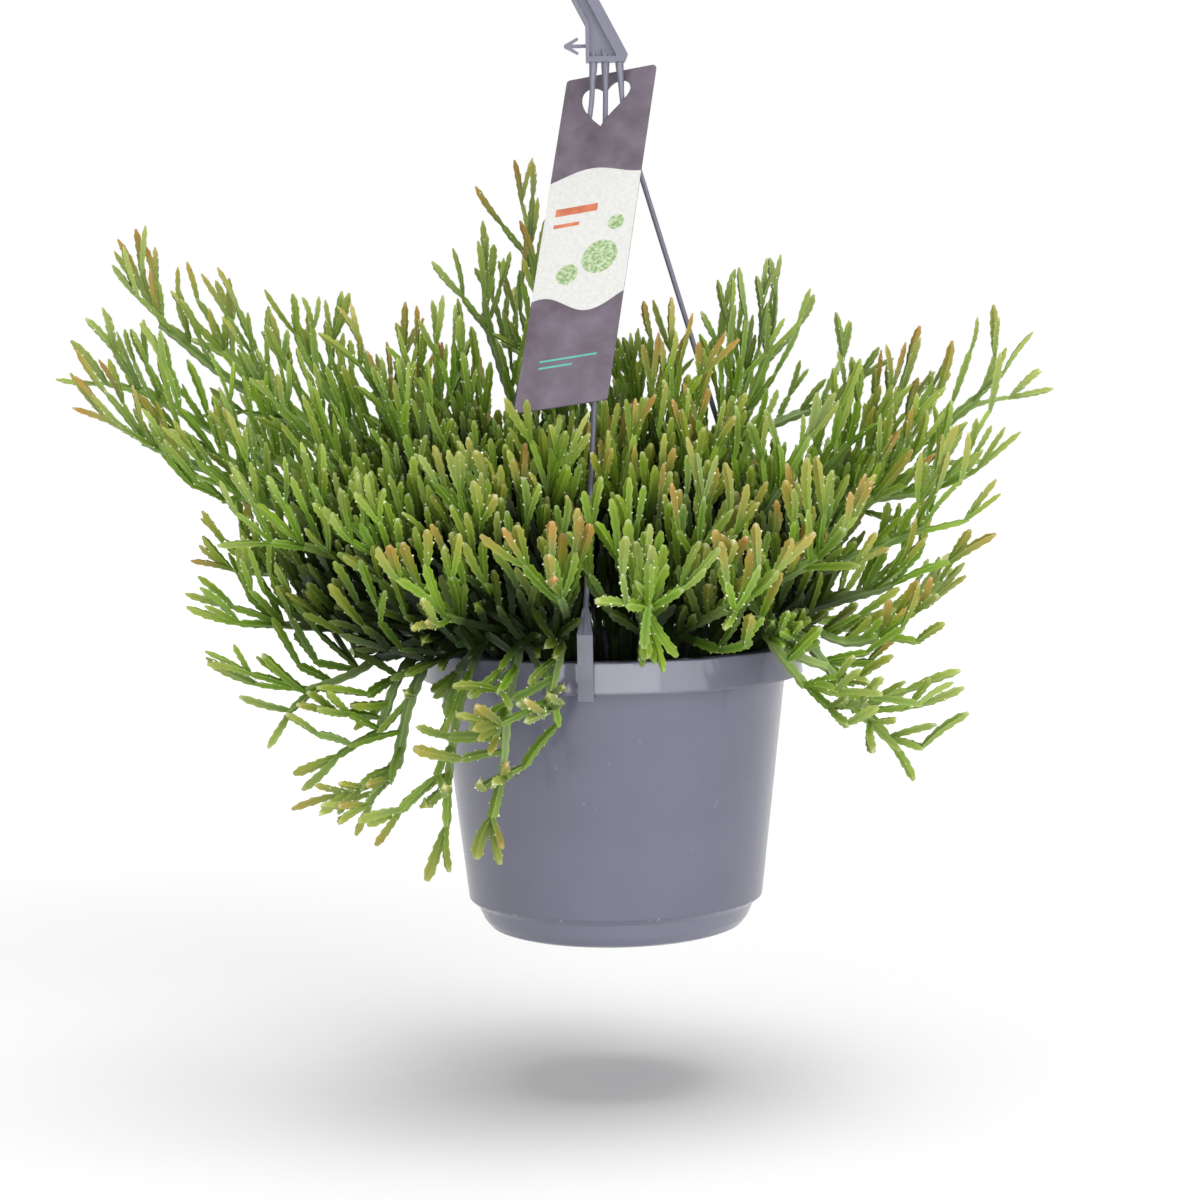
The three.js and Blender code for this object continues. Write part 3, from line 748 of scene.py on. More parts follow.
def outness(point):
    """Nought in the middle of the thick of the plant, and one at its outside."""
    parts = [(point[i] - THICK_MIDDLE[i]) / THICK_SIZE[i] for i in range(3)]
    return math.sqrt(dot(parts, parts))


def over_rim(joint, end):
    """Whether a finger that starts above the rim would hang down over it, where none should."""
    out = math.hypot(end[0], end[1])
    return joint[2] > RIM_TOP and end[2] < RIM_TOP + RIM_CLEAR and out < RIM_RADIUS + BAND_CLEAR


def inside_box(point):
    low, high = cad_box
    return all(low[i] / MM + BOX_MARGIN < point[i] < high[i] / MM - BOX_MARGIN for i in range(3))


def sprout(joint, direction, count, rule, shoot, order, gap=THICK_GAP):
    """More fingers at a joint, where they find room and stay within the shoot's reach."""
    draw = shoot["draw"]
    lift = rule["lift"] * clamp(0.5 + shoot["reach"][0][2], 0.2, 1)
    head_height = shoot["lines"][0][-1][2]
    spills = rule is SPILL_SIDE
    hangs = spills or head_height < RIM_TOP + RIM_CLEAR
    tall = joint[0] < TALL_SIDE and joint[2] > TALL_HEIGHT
    low = spills or head_height < LOW_HEAD
    least = TALL_CHANCE if tall else HANGING_CHANCE if low else THIN_CHANCE
    grown = []
    offset = draw() * 2 * math.pi
    for i in range(count):
        if draw() > clamp(MIDDLE_CHANCE - CHANCE_FALL * outness(joint), least, 1):
            continue
        for turn in range(MORE_TRIES):
            lean = rule["lean"] + rule["spread"] * (draw() - 0.5) + 0.08 * turn
            angle = offset + (i + 0.6 * (draw() - 0.5)) * 2 * math.pi / count
            length = rule["length"] * (0.7 + 0.55 * draw())
            aim = leaning(direction, lean, angle, lift)
            end = plus(joint, aim, TRIED_LENGTH * length)
            if not inside_box(end) or not (spills or outness(end) < WITHIN or keeps_form(end, shoot)):
                continue
            if over_rim(joint, end) and not hangs:
                continue
            if not fits(joint, end, THICK_RADIUS, shoot["owner"], gap, gap):
                continue
            end = plus(joint, aim, length)
            taken.add(joint, end, THICK_RADIUS, shoot["owner"])
            grown.append({"a": joint, "b": end, "length": length, "aim": aim, "order": order})
            break
    shoot["fingers"] += grown
    return grown


def bear(shoot, finger, count):
    """Children on the end of a finger."""
    count -= finger.get("borne", 0)
    joint = plus(finger["a"], finger["aim"], JOINT * finger["length"])
    if count > 0:
        grown = sprout(joint, finger["aim"], count, CHILD, shoot, finger["order"] + 1)
        finger["borne"] = finger.get("borne", 0) + len(grown)


def whorl_joints(line, per_run=2):
    """Joints along a stem, outside the pot, with the way each one's fingers face."""
    joints = []
    points = spline(line, per_run)
    for i in range(2, len(points) - 1):
        point = points[i].tolist()
        out = math.hypot(point[0], point[1])
        if point[2] < RIM_TOP + 3 and out < RIM_RADIUS + 4:
            continue
        run = unit((points[i + 1] - points[i - 1]).tolist())
        joints.append((point, unit(plus(run, habit(point)[2], 1.1))))
    return joints


def spill_joints(line):
    """Points of a stem just outside the front of the rim, where a few fingers hang over the band."""
    low, high = SPILL_HEIGHTS
    return [point for point in spline(line, 3).tolist()
            if SPILL_SPAN[0] < point[0] < SPILL_SPAN[1] and point[1] < -RIM_RADIUS - 2
            and low < point[2] - RIM_TOP < high]


def each_line(shoots):
    return [(shoot, line) for shoot in shoots for line in shoot["lines"]]


def thicken(shoots):
    """Adds fingers over the rim, at the heads, on other fingers, along the stems and inside."""
    for shoot in shoots:
        shoot["draw"] = draws_from(THICK_SEED + shoot["owner"])
        shoot["reach"] = reach_of(shoot)
        shoot["runs"] = runs_of(shoot)
    for shoot, line in each_line(shoots):
        for joint in spill_joints(line):
            sprout(joint, unit(SPILL_WAY), 2, SPILL_SIDE, shoot, 4, INNER_GAP)
    for shoot, line in each_line(shoots):
        heading = unit(plus(unit(minus(line[-1], line[-2])), habit(line[-1])[2], 1.5))
        sprout(line[-1], heading, 3, HEAD_MORE, shoot, 1)
    for shoot in shoots:
        for finger in list(shoot["fingers"]):
            bear(shoot, finger, 3)
    for shoot, line in each_line(shoots):
        for joint, heading in whorl_joints(line):
            sprout(joint, heading, 3, STEM_SIDE, shoot, 1)
    for count in (3, 2):
        for shoot in shoots:
            for finger in list(shoot["fingers"]):
                if finger["order"] < 4:
                    bear(shoot, finger, count)
    low, high = INNER_HEIGHTS
    for shoot, line in each_line(shoots):
        for joint, heading in whorl_joints(line, 3):
            near = math.hypot(joint[0], joint[1]) < INNER_RADIUS
            if near and low < joint[2] - RIM_TOP < high:
                sprout(joint, heading, 2, INNER_SIDE, shoot, 3, INNER_GAP)


# Shapes of the cactus

FINGER_BODY = 2.08
# Rings of a finger as (part of the length, share of the radius, crest or notch on the ridges)
FINGER_RINGS = [
    (-0.03, 0.42, 0), (0.07, 0.6, 0), (0.22, 0.84, 1), (0.27, 0.84, -1), (0.43, 0.96, 1), (0.48, 0.95, -1),
    (0.64, 1.04, 1), (0.69, 1.02, -1), (0.84, 1.02, 1), (0.9, 0.92, -1), (0.985, 0.58, 0),
]
# Fingers whose tips lie deep in the shade have plain sides and no tufts
HIDDEN_RINGS = [
    (-0.03, 0.42, 0), (0.15, 0.75, 0), (0.45, 0.95, 0), (0.75, 1.02, 0), (0.93, 0.88, 0), (0.985, 0.58, 0),
]
HIDDEN_SHADE = 0.95
FINGER_ENDS = (-0.06, 1.005)
CRENATION = 0.12
# How far the skin reaches between the ridges, by how many ridges there are
VALLEY = {3: 0.42, 4: 0.58}
TUFT_SIZE = 0.5
TUFT_PALE = 1.8
TETRAHEDRON = [(0, 1, 3), (1, 2, 3), (2, 0, 3), (0, 2, 1)]
# Fingers far out or high up are slimmer, and taper to their tips
SLENDER_SPAN = (190, 130)
SLENDER_FROM = 0.45
SLENDER_OVER = 0.6
SLIMMER = 0.22
TIP_TAPER = 0.42
FINGER_CREASE = 55
FINGER_SEED = 9000
STEM_SEED = 7000


def slenderness(point):
    """Nought for the sturdy fingers low in the middle, and one far out or high up."""
    far = math.hypot(point[0] / SLENDER_SPAN[0], max(point[2] - RIM_TOP, 0) / SLENDER_SPAN[1])
    return clamp((far - SLENDER_FROM) / SLENDER_OVER, 0, 1)


def finger_batch(fingers, ridges, outline):
    """Vertices, triangles and colours of a batch of fingers that have so many ridges."""
    count = len(fingers)
    sides = 2 * ridges
    t, share, crest = np.array(outline).T
    start, aim, length, radius, spin, slim, bend = (
        np.array([finger[key] for finger in fingers])
        for key in ("a", "aim", "length", "radius", "spin", "slim", "bend"))
    u = np.cross(aim, np.where(np.abs(aim[:, 2:]) > 0.9, [[1.0, 0, 0]], [[0, 0, 1.0]]))
    u /= np.linalg.norm(u, axis=1)[:, None]
    v = np.cross(aim, u)
    bow = (u * bend[:, :1] + v * bend[:, 1:]) * length[:, None]

    def centre(part):
        return start + aim * (part * length)[:, None] + bow * math.sin(math.pi * clamp(part, 0, 1))

    angles = spin[:, None] + once_round(sides)
    around = u[:, None] * np.cos(angles)[..., None] + v[:, None] * np.sin(angles)[..., None]
    is_ridge = np.arange(sides) % 2 == 0
    rings = np.zeros((count, len(t), sides, 3))
    for k in range(len(t)):
        reach = np.where(is_ridge, share[k] * (1 + CRENATION * crest[k]), share[k] * VALLEY[ridges])
        width = radius * (1 - TIP_TAPER * slim * max(t[k], 0) ** 5)
        rings[:, k] = centre(t[k])[:, None] + around * (width[:, None] * reach)[..., None]
    poles = np.stack([centre(part) for part in FINGER_ENDS], axis=1)
    parts = [np.concatenate([rings.reshape(count, -1, 3), poles], axis=1)]
    faces = [sleeve_faces(len(t), sides)]

    along = np.concatenate([np.repeat(t, sides), FINGER_ENDS]).clip(0, 1)
    edge = np.concatenate([np.tile(is_ridge.astype(float), len(t)), [0.5, 1]])
    pale = np.concatenate([np.repeat(np.where(t > 0.95, 0.25, 0), sides), [0, 0.6]])
    colours = [colours_of(fingers, along, edge, pale)]

    sizes = 0.35 + 0.95 * np.random.default_rng(count).uniform(0, 1, (count, 1)) ** 2
    for n, k in enumerate(np.flatnonzero(crest == 1)):
        for ridge in range(n % 2, ridges, 2):
            faces.append(np.array(TETRAHEDRON) + sum(part.shape[1] for part in parts))
            parts.append(tetrahedra(rings[:, k, 2 * ridge], around[:, 2 * ridge], aim,
                                    TUFT_SIZE * np.roll(sizes, k + ridge)))
            colours.append(colours_of(fingers, np.full(4, t[k]), np.ones(4), np.full(4, TUFT_PALE)))
    vertices = np.concatenate(parts, axis=1)
    firsts = np.arange(count) * vertices.shape[1]
    triangles = (np.vstack(faces)[None] + firsts[:, None, None]).reshape(-1, 3)
    looks = [np.concatenate([pair[i] for pair in colours], axis=1).reshape(-1, 4) for i in (0, 1)]
    return vertices.reshape(-1, 3), triangles, looks


def tetrahedra(spot, out, aim, size):
    """A small pointed tuft at each spot, sunk a little into the skin."""
    across = np.cross(aim, out)
    foot = spot - out * 0.6 * size
    return np.stack([
        foot - (0.7 * aim + 0.8 * across) * size,
        foot - (0.7 * aim - 0.8 * across) * size,
        foot + 0.9 * aim * size,
        spot + (0.8 * out + 0.3 * aim) * size,
    ], axis=1)


def colours_of(fingers, along, edge, pale):
    """Two colours at each vertex: (along, edge, tint) and (blush, pale, shade, which comes later)."""
    ones = np.ones(len(along))
    first = [np.stack([along, edge, ones * f["tint"], ones], axis=1) for f in fingers]
    second = [np.stack([ones * f["blush"], np.minimum(pale * f["frost"], 1), 0 * ones, ones], axis=1)
              for f in fingers]
    return np.array(first), np.array(second)


def finish_fingers(shoot):
    """Draws each finger's own width, turn, bow and colour."""
    draw = draws_from(FINGER_SEED + shoot["owner"])
    growth, reach = shoot["reach"]
    warm = draw() ** 2
    tone = draw()
    for finger in shoot["fingers"]:
        depth = clamp((reach - dot(finger["b"], growth)) / 90, 0, 1)
        finger["ridges"] = 3 if draw() < 0.3 else 4
        finger["slim"] = slenderness(finger["b"])
        finger["radius"] = FINGER_BODY * (0.74 + 0.42 * draw()) * (1 - SLIMMER * finger["slim"])
        finger["spin"] = draw() * 2 * math.pi
        finger["bend"] = [0.1 * (draw() - 0.5), 0.03 - 0.08 * draw()]
        finger["tint"] = clamp(0.52 * tone + 0.7 * draw() - 0.12, 0, 1)
        finger["frost"] = 0.2 + 0.8 * draw() ** 1.5
        tip = 1 if finger.get("borne", 0) == 0 else 0.25
        blush = 0.1 + 1.1 * warm * draw() + 0.2 * draw()
        finger["blush"] = clamp(tip * (1 - 0.8 * depth) * blush, 0, 1)


STEM_BODY = 2.3
STEM_STEP = 3
STEM_SEGMENT = 24
STEM_SIDES = 8
STEM_VALLEY = 0.64


def evenly(points, step):
    """The line again, with its points about a step apart."""
    walked = np.concatenate([[0], np.cumsum(np.linalg.norm(np.diff(points, axis=0), axis=1))])
    count = max(int(walked[-1] / step), 2)
    places = np.linspace(0, walked[-1], count + 1)
    return places, np.stack([np.interp(places, walked, points[:, axis]) for axis in range(3)], axis=1)


def stem_mesh(line, draw):
    """A stem of jointed segments with notched ridges, a little paler towards its foot."""
    walked, points = evenly(spline(line, 12), STEM_STEP)
    part = (walked / STEM_SEGMENT + draw()) % 1
    body = STEM_BODY * (0.8 + 0.2 * np.sin(math.pi * part) ** 0.6)
    is_ridge = np.arange(STEM_SIDES) % 2 == 0
    notched = np.where(np.arange(len(points)) % 2 == 0, 1 + CRENATION, 1 - CRENATION)
    reaches = body[:, None] * np.where(is_ridge, notched[:, None], STEM_VALLEY)
    vertices, faces = swept(points, reaches)
    edge = np.concatenate([np.tile(is_ridge, len(points)), [0, 0]]).astype(float)
    drop = np.hypot(vertices[:, 2] - RIM_TOP, 0.6 * np.hypot(vertices[:, 0], vertices[:, 1]))
    old = np.clip(1.2 - drop / 130, 0.3, 1)
    ones = np.ones(len(vertices))
    first = np.stack([0.3 * ones, edge, ones * draw(), ones], axis=1)
    second = np.stack([0 * ones, 0.22 * old ** 2, 0 * ones, ones], axis=1)
    return vertices, faces, [first, second]


# Grid cell, cells that the blur reaches, and the percentile of crowding at the tips that counts as one
CROWD_CELL = 8
CROWD_BLUR = 2
CROWD_FULL = 85
SHADE_STEP = 15
# How the painted shade falls with height, deepens in the middle and inside the pot, and lightens below the
# rim
HEIGHT_FALL = 0.6
FALL_SPAN = 80
MIDDLE_MORE = 0.18
MIDDLE_WIDTH = 62
BELOW_LESS = 0.45
POT_SHADE = 1.1
SHADE_BLEND = 30


class Crowding:
    """How thickly the fingers stand round any point, from nought in the open to one or more."""

    def __init__(self, shoots):
        margin = 12 * CROWD_CELL
        low, high = (np.array(corner) / MM for corner in cad_box)
        self.low = low - margin
        size = ((high - low + 2 * margin) / CROWD_CELL).astype(int) + 2
        ends = np.array([(finger["a"], finger["b"]) for shoot in shoots for finger in shoot["fingers"]])
        spots = np.vstack([ends[:, 0] + (ends[:, 1] - ends[:, 0]) * t for t in (0.2, 0.5, 0.8)])
        self.grid = np.zeros(size)
        np.add.at(self.grid, tuple(((spots - self.low) / CROWD_CELL).astype(int).T), 1.0)
        for axis in range(3):
            for _ in range(3):
                shifts = range(-CROWD_BLUR, CROWD_BLUR + 1)
                self.grid = sum(np.roll(self.grid, shift, axis) for shift in shifts) / len(shifts)
        self.grid /= np.percentile(self.at(ends[:, 1]), CROWD_FULL)

    def at(self, points):
        place = (points - self.low) / CROWD_CELL - 0.5
        cell = np.floor(place).astype(int)
        part = place - cell
        total = np.zeros(len(points))
        for corner in np.ndindex(2, 2, 2):
            weight = np.prod(np.where(corner, part, 1 - part), axis=1)
            spot = np.clip(cell + corner, 0, np.array(self.grid.shape) - 1)
            total += weight * self.grid[tuple(spot.T)]
        return total

    def shade(self, points):
        """Painted shade: crowding a step further out and up, so that what sticks out stays light."""
        out = np.linalg.norm(points[:, :2], axis=1)
        facing = points * (1, 1, 0) / (out[:, None] + 20)
        crowd = self.at(points + (facing * 0.6 + (0, 0, 0.8)) * SHADE_STEP)
        above = points[:, 2] - RIM_TOP
        crowd *= 1.45 - HEIGHT_FALL * np.clip(above / FALL_SPAN, -0.2, 1)
        middle = 1 + MIDDLE_MORE * np.exp(-(points[:, 0] / MIDDLE_WIDTH) ** 2)
        below = 1 - BELOW_LESS * np.clip((12 - above) / SHADE_BLEND, 0, 1)
        low = np.clip((40 - above) / SHADE_BLEND, 0, 1)
        in_pot = low * np.clip((RIM_RADIUS + 4 - out) / 12, 0, 1)
        return np.maximum(crowd * middle * below, POT_SHADE * in_pot)


def finger_batches(fingers, hidden):
    """The fingers as meshes, in a batch for each kind of outline."""
    for ridges in VALLEY:
        for deep, outline in ((False, FINGER_RINGS), (True, HIDDEN_RINGS)):
            chosen = [finger for finger, lies_deep in zip(fingers, hidden)
                      if finger["ridges"] == ridges and lies_deep == deep]
            if chosen:
                yield finger_batch(chosen, ridges, outline)


def make_shoots(shoots, skin):
    crowding = Crowding(shoots)
    for shoot in shoots:
        draw = draws_from(STEM_SEED + shoot["owner"])
        finish_fingers(shoot)
        parts = [stem_mesh(line, draw) for line in shoot["lines"]]
        tips = np.array([finger["b"] for finger in shoot["fingers"]])
        parts += finger_batches(shoot["fingers"], crowding.shade(tips) > HIDDEN_SHADE)
        vertices, faces = merged([part[:2] for part in parts])
        growth, look = (np.vstack([part[2][i] for part in parts]) for i in (0, 1))
        look[:, 2] = crowding.shade(vertices)
        name = "shoot_%02d" % (shoot["owner"] + 1)
        colours = {"growth": growth, "look": look}
        piece = add_piece("leafy_" + name, vertices, faces, skin, "cactus", [name], colours)
        sharpen(piece, FINGER_CREASE)


# Materials

class Shader:
    """A node material with a Principled shader, and short ways to add nodes to it."""

    def __init__(self, name):
        self.material = bpy.data.materials.new(name)
        self.material.use_nodes = True
        self.tree = self.material.node_tree
        self.main = self.tree.nodes["Principled BSDF"]
        self.place = self.add("ShaderNodeTexCoord").outputs["Object"]

    def add(self, kind, **settings):
        node = self.tree.nodes.new(kind)
        for key, value in settings.items():
            setattr(node, key, value)
        return node

    def put(self, socket, value):
        if isinstance(value, bpy.types.NodeSocket):
            self.tree.links.new(value, socket)
        else:
            socket.default_value = value

    def math(self, operation, a, b=0.0, c=0.0):
        node = self.add("ShaderNodeMath", operation=operation)
        for socket, value in zip(node.inputs, (a, b, c)):
            self.put(socket, value)
        return node.outputs[0]

    def times(self, a, b):
        return self.math("MULTIPLY", a, b)

    def between(self, value, low, high):
        return self.times(self.math("GREATER_THAN", value, low), self.math("LESS_THAN", value, high))

    def axes(self):
        node = self.add("ShaderNodeSeparateXYZ")
        self.put(node.inputs[0], self.place)
        return node.outputs

    def mix(self, share, a, b):
        node = self.add("ShaderNodeMix", data_type="RGBA")
        self.put(node.inputs["Factor"], share)
        for key, value in (("A", a), ("B", b)):
            socket = [s for s in node.inputs if s.name == key and s.type == "RGBA"][0]
            self.put(socket, value if isinstance(value, bpy.types.NodeSocket) else (*value, 1))
        return [s for s in node.outputs if s.type == "RGBA"][0]

    def noise(self, scale, detail, stretch=None, rough=0.55):
        node = self.add("ShaderNodeTexNoise")
        node.inputs["Scale"].default_value = scale
        node.inputs["Detail"].default_value = detail
        node.inputs["Roughness"].default_value = rough
        place = self.place
        if stretch:
            mapping = self.add("ShaderNodeMapping")
            mapping.inputs["Scale"].default_value = stretch
            self.put(mapping.inputs["Vector"], place)
            place = mapping.outputs[0]
        self.put(node.inputs["Vector"], place)
        return node.outputs["Fac"]

    def ramp(self, value, low, high, start=0.0, end=1.0):
        node = self.add("ShaderNodeMapRange")
        for key, part in (("Value", value), ("From Min", low), ("From Max", high),
                          ("To Min", start), ("To Max", end)):
            self.put(node.inputs[key], part)
        return node.outputs[0]

    def colours(self, name):
        node = self.add("ShaderNodeVertexColor", layer_name=name)
        split = self.add("ShaderNodeSeparateColor")
        self.put(split.inputs[0], node.outputs["Color"])
        return split.outputs

    def bump(self, *layers):
        """Layers of (height, depth in millimetres), from the broadest to the finest."""
        normal = None
        for height, depth in layers:
            node = self.add("ShaderNodeBump")
            node.inputs["Distance"].default_value = depth * MM
            self.put(node.inputs["Height"], height)
            if normal:
                self.put(node.inputs["Normal"], normal)
            normal = node.outputs[0]
        self.put(self.main.inputs["Normal"], normal)

    def set(self, **sockets):
        for key, value in sockets.items():
            self.put(self.main.inputs[key.replace("_", " ")], value)
        return self.material


# Colours here and below are in linear light, and a pair is the two ends of a blend
DEEP_GREENS = (0.035, 0.108, 0.005), (0.1, 0.215, 0.008)
LIGHT_GREEN = (0.23, 0.37, 0.022)
RIDGE_GREEN = (0.34, 0.46, 0.07)
BLUSHES = (0.4, 0.38, 0.06), (0.4, 0.2, 0.04)
# Partly painted light: a paler green for the open outer fingers, as if hazed by bright light, partly
# sun-yellowed growth
SUNNED_AND_LIT_GREEN = (0.42, 0.44, 0.22)
WOOL = (0.86, 0.86, 0.7)
SHADED_GREEN = (0.006, 0.016, 0.001)


def cactus_skin():
    shader = Shader("cactus_skin")
    along, edge, tint = shader.colours("growth")[:3]
    blush, pale, shade = shader.colours("look")[:3]
    patches = shader.noise(90, 3)
    grain = shader.noise(900, 2)
    tone = shader.math("MULTIPLY_ADD", tint, 0.6, shader.times(patches, 0.45))
    tone = shader.math("MULTIPLY_ADD", along, 0.3, tone)
    deep = shader.mix(shader.ramp(tone, 0.25, 0.75), *DEEP_GREENS)
    green = shader.mix(shader.ramp(tone, 0.7, 1.2), deep, LIGHT_GREEN)
    ridge = shader.mix(shader.times(edge, 0.42), green, RIDGE_GREEN)
    warm = shader.mix(shader.ramp(blush, 0.2, 0.8), *BLUSHES)
    tip = shader.times(shader.ramp(along, 0.2, 1, 0.08, 1), shader.ramp(blush, 0.05, 0.7, 0, 0.95))
    # Painted light, partly sun-yellowed growth: up to 30% of a paler green where the painted shade is least
    sunned_and_lit = shader.mix(shader.ramp(shade, 0.02, 0.24, 0.3, 0), ridge, SUNNED_AND_LIT_GREEN)
    ripe = shader.mix(tip, sunned_and_lit, warm)
    colour = shader.mix(shader.times(pale, 0.9), ripe, WOOL)
    # Painted shade: up to 97% of a near-black green where fingers stand thickly, low down, in the middle and
    # in the pot
    inner = shader.mix(shader.ramp(shade, 0.36, 0.9, 0, 0.97), colour, SHADED_GREEN)
    shader.bump((patches, 0.25), (grain, 0.08))
    return shader.set(Base_Color=inner, Roughness=shader.ramp(grain, 0.3, 0.7, 0.36, 0.54),
                      Specular_IOR_Level=0.28)


POT_TONES = (0.098, 0.099, 0.148), (0.116, 0.117, 0.172)
HANGER_TONES = (0.134, 0.134, 0.184), (0.162, 0.162, 0.218)
# Painted light: the colour toward which the pot's foot below its step is paled, as if lit from beneath
LIT_FOOT_TONE = (0.22, 0.22, 0.29)
SCUFF_TONE = (0.5, 0.5, 0.55)
POT_GLOSS = 0.6
HANGER_GLOSS = 0.3


def moulded_plastic(name, colour, light, gloss, foot_step=None):
    """Satin plastic with faint drawn streaks, pale scuffs along a step, and the foot below it painted paler
    as if lit.
    """
    shader = Shader(name)
    cloud = shader.noise(22, 4)
    streaks = shader.noise(60, 3, (1, 1, 0.06))
    grain = shader.noise(2200, 2)
    scuffs = shader.noise(160, 5, (1, 1, 0.35), 0.7)
    if foot_step is not None:
        height = shader.axes()["Z"]
        off = shader.math("ABSOLUTE", shader.math("SUBTRACT", height, foot_step * MM))
        near = shader.ramp(off, 0, 1.6 * MM, 0.14, 0)
        scuffs = shader.math("ADD", scuffs, near)
        # Painted light: below the step the foot is mixed toward a paler tone
        foot = shader.ramp(height, (foot_step - 1) * MM, foot_step * MM, 0.3, 0)
    worn = shader.ramp(scuffs, 0.68, 0.76)
    body = shader.mix(shader.ramp(cloud, 0.3, 0.7), colour, light)
    if foot_step is not None:
        body = shader.mix(foot, body, LIT_FOOT_TONE)
    drawn = shader.mix(shader.ramp(streaks, 0.45, 0.8, 0, 0.18), body, light)
    marked = shader.mix(shader.times(worn, 0.45), drawn, SCUFF_TONE)
    shader.bump((streaks, 0.05), (grain, 0.03))
    return shader.set(Base_Color=marked, Roughness=shader.ramp(cloud, 0.3, 0.7, 0.34, 0.46),
                      Coat_Weight=gloss, Coat_Roughness=0.12 if foot_step else 0.3)


SOIL_TONES = (0.006, 0.004, 0.003), (0.045, 0.028, 0.016)
BARK_TONE = (0.16, 0.1, 0.055)
GRAIN_TONE = (0.6, 0.58, 0.53)


def potting_soil():
    shader = Shader("potting_soil")
    look = shader.colours("look")
    clods = shader.noise(140, 6)
    fine = shader.noise(900, 4)
    bark = shader.mix(look[0], shader.mix(clods, *SOIL_TONES), BARK_TONE)
    grains = shader.mix(look[1], bark, GRAIN_TONE)
    shader.bump((clods, 1.2), (fine, 0.5))
    return shader.set(Base_Color=grains, Roughness=0.95)


# Pot, soil, hanger and tag

POT_SEGMENTS = 144
POT_CORNER = 0.6
CORNER_STEPS = 3
POT_CREASE = 32
# The middle of the underside stands this far clear of what the foot rests on
FLOOR_RISE = 0.8
INNER_STEP = FOOT_HEIGHT + 2.4
DRAIN_SIDES = 32


def lathe(profile, segments):
    """A closed body turned round the Z axis, whose profile starts and ends on the axis."""
    inner = profile[1:-1]
    rings = [(*polar(r, angle), z) for r, z in inner for angle in once_round(segments)]
    poles = [(0, 0, z) for _, z in (profile[0], profile[-1])]
    return np.array(rings + poles), sleeve_faces(len(inner), segments)


def rounded(points, radius):
    """The profile with its inner corners rounded off, and a ring beside each that keeps flats flat."""
    result = [points[0]]
    for before, corner, after in zip(points, points[1:], points[2:]):
        corner = np.array(corner, dtype=float)
        ways = [np.array(p, dtype=float) - corner for p in (before, after)]
        sizes = [np.linalg.norm(way) for way in ways]
        cut = min(radius, 0.36 * sizes[0], 0.36 * sizes[1])
        start, end = (corner + way / size * cut for way, size in zip(ways, sizes))
        before_start, after_end = (corner + way / size * 1.3 * cut for way, size in zip(ways, sizes))
        result.append(tuple(before_start))
        for k in range(CORNER_STEPS + 1):
            t = k / CORNER_STEPS
            result.append(tuple((1 - t) ** 2 * start + 2 * t * (1 - t) * corner + t * t * end))
        result.append(tuple(after_end))
    result.append(points[-1])
    return result


def bored(piece, holes):
    """The piece with closed holes cut out of it."""
    for hole in holes:
        cut = piece.modifiers.new("bore", "BOOLEAN")
        cut.object = hole
        cut.operation = "DIFFERENCE"
        cut.solver = "EXACT"
    apply_modifiers(piece)
    for hole in holes:
        bpy.data.objects.remove(hole)


def make_pot(material):
    skirt = RIM_RADIUS - BAND_WALL
    under = POT_HEIGHT - FLOOR
    profile = [
        (0, FLOOR_RISE),
        (DRAIN_RING - 9, FLOOR_RISE),
        (DRAIN_RING - 8, 0),
        (FOOT_FLAT_RADIUS, 0),
        (FOOT_FLAT_RADIUS + 4, 1.5),
        (FOOT_FLAT_RADIUS + 6.8, 5),
        (FOOT_TOP_RADIUS, FOOT_HEIGHT - 1),
        (WALL_LOW_RADIUS, FOOT_HEIGHT + 1.4),
        (WALL_TOP_RADIUS, under - 0.3),
        (skirt - BAND_DRAFT, under),
        (skirt - 0.2, POT_HEIGHT - BAND_HEIGHT),
        (RIM_RADIUS, POT_HEIGHT - BAND_HEIGHT),
        (RIM_RADIUS, POT_HEIGHT - BAND_HEIGHT + 1),
        (RIM_RADIUS - BAND_DRAFT, POT_HEIGHT),
        (WALL_TOP_RADIUS - WALL, POT_HEIGHT),
        (WALL_LOW_RADIUS - WALL, INNER_STEP),
        (FOOT_TOP_RADIUS - WALL, FOOT_HEIGHT - 1),
        (FOOT_FLAT_RADIUS, FLOOR),
        (0, FLOOR),
    ]
    vertices, faces = lathe(rounded(profile, POT_CORNER), POT_SEGMENTS)
    vertices[:, 2] += POT_BASE
    pot = add_piece("moulded_pot", vertices, faces, material, "pot_plastic", ["pot"])
    holes = []
    for angle in once_round(DRAIN_COUNT):
        place = [part * MM for part in (*polar(DRAIN_RING, angle), POT_BASE + FLOOR)]
        bpy.ops.mesh.primitive_cylinder_add(vertices=DRAIN_SIDES, radius=DRAIN_RADIUS * MM,
                                            depth=4 * FLOOR * MM, location=place)
        holes.append(bpy.context.object)
    bored(pot, holes)
    sharpen(pot, POT_CREASE)


def inside_wall(height):
    """The soil's radius at a height, a little inside the wall."""
    part = (height - INNER_STEP) / (POT_HEIGHT - INNER_STEP)
    return WALL_LOW_RADIUS - WALL + part * (WALL_TOP_RADIUS - WALL_LOW_RADIUS) - 0.1


SOIL_SEED = 31
SOIL_RINGS = 44
SOIL_SEGMENTS = 132
LUMPS = 240
CRUMBS = 520
GRAIN_CHANCE = 0.05
CRUMB = [(1.3, 0, 0), (-1.2, 0.1, 0), (0, 0.8, 0), (0.1, -0.9, 0), (0, 0, 0.7), (0, 0, -0.6)]
OCTAHEDRON = [(0, 2, 4), (2, 1, 4), (1, 3, 4), (3, 0, 4), (2, 0, 5), (1, 2, 5), (3, 1, 5), (0, 3, 5)]


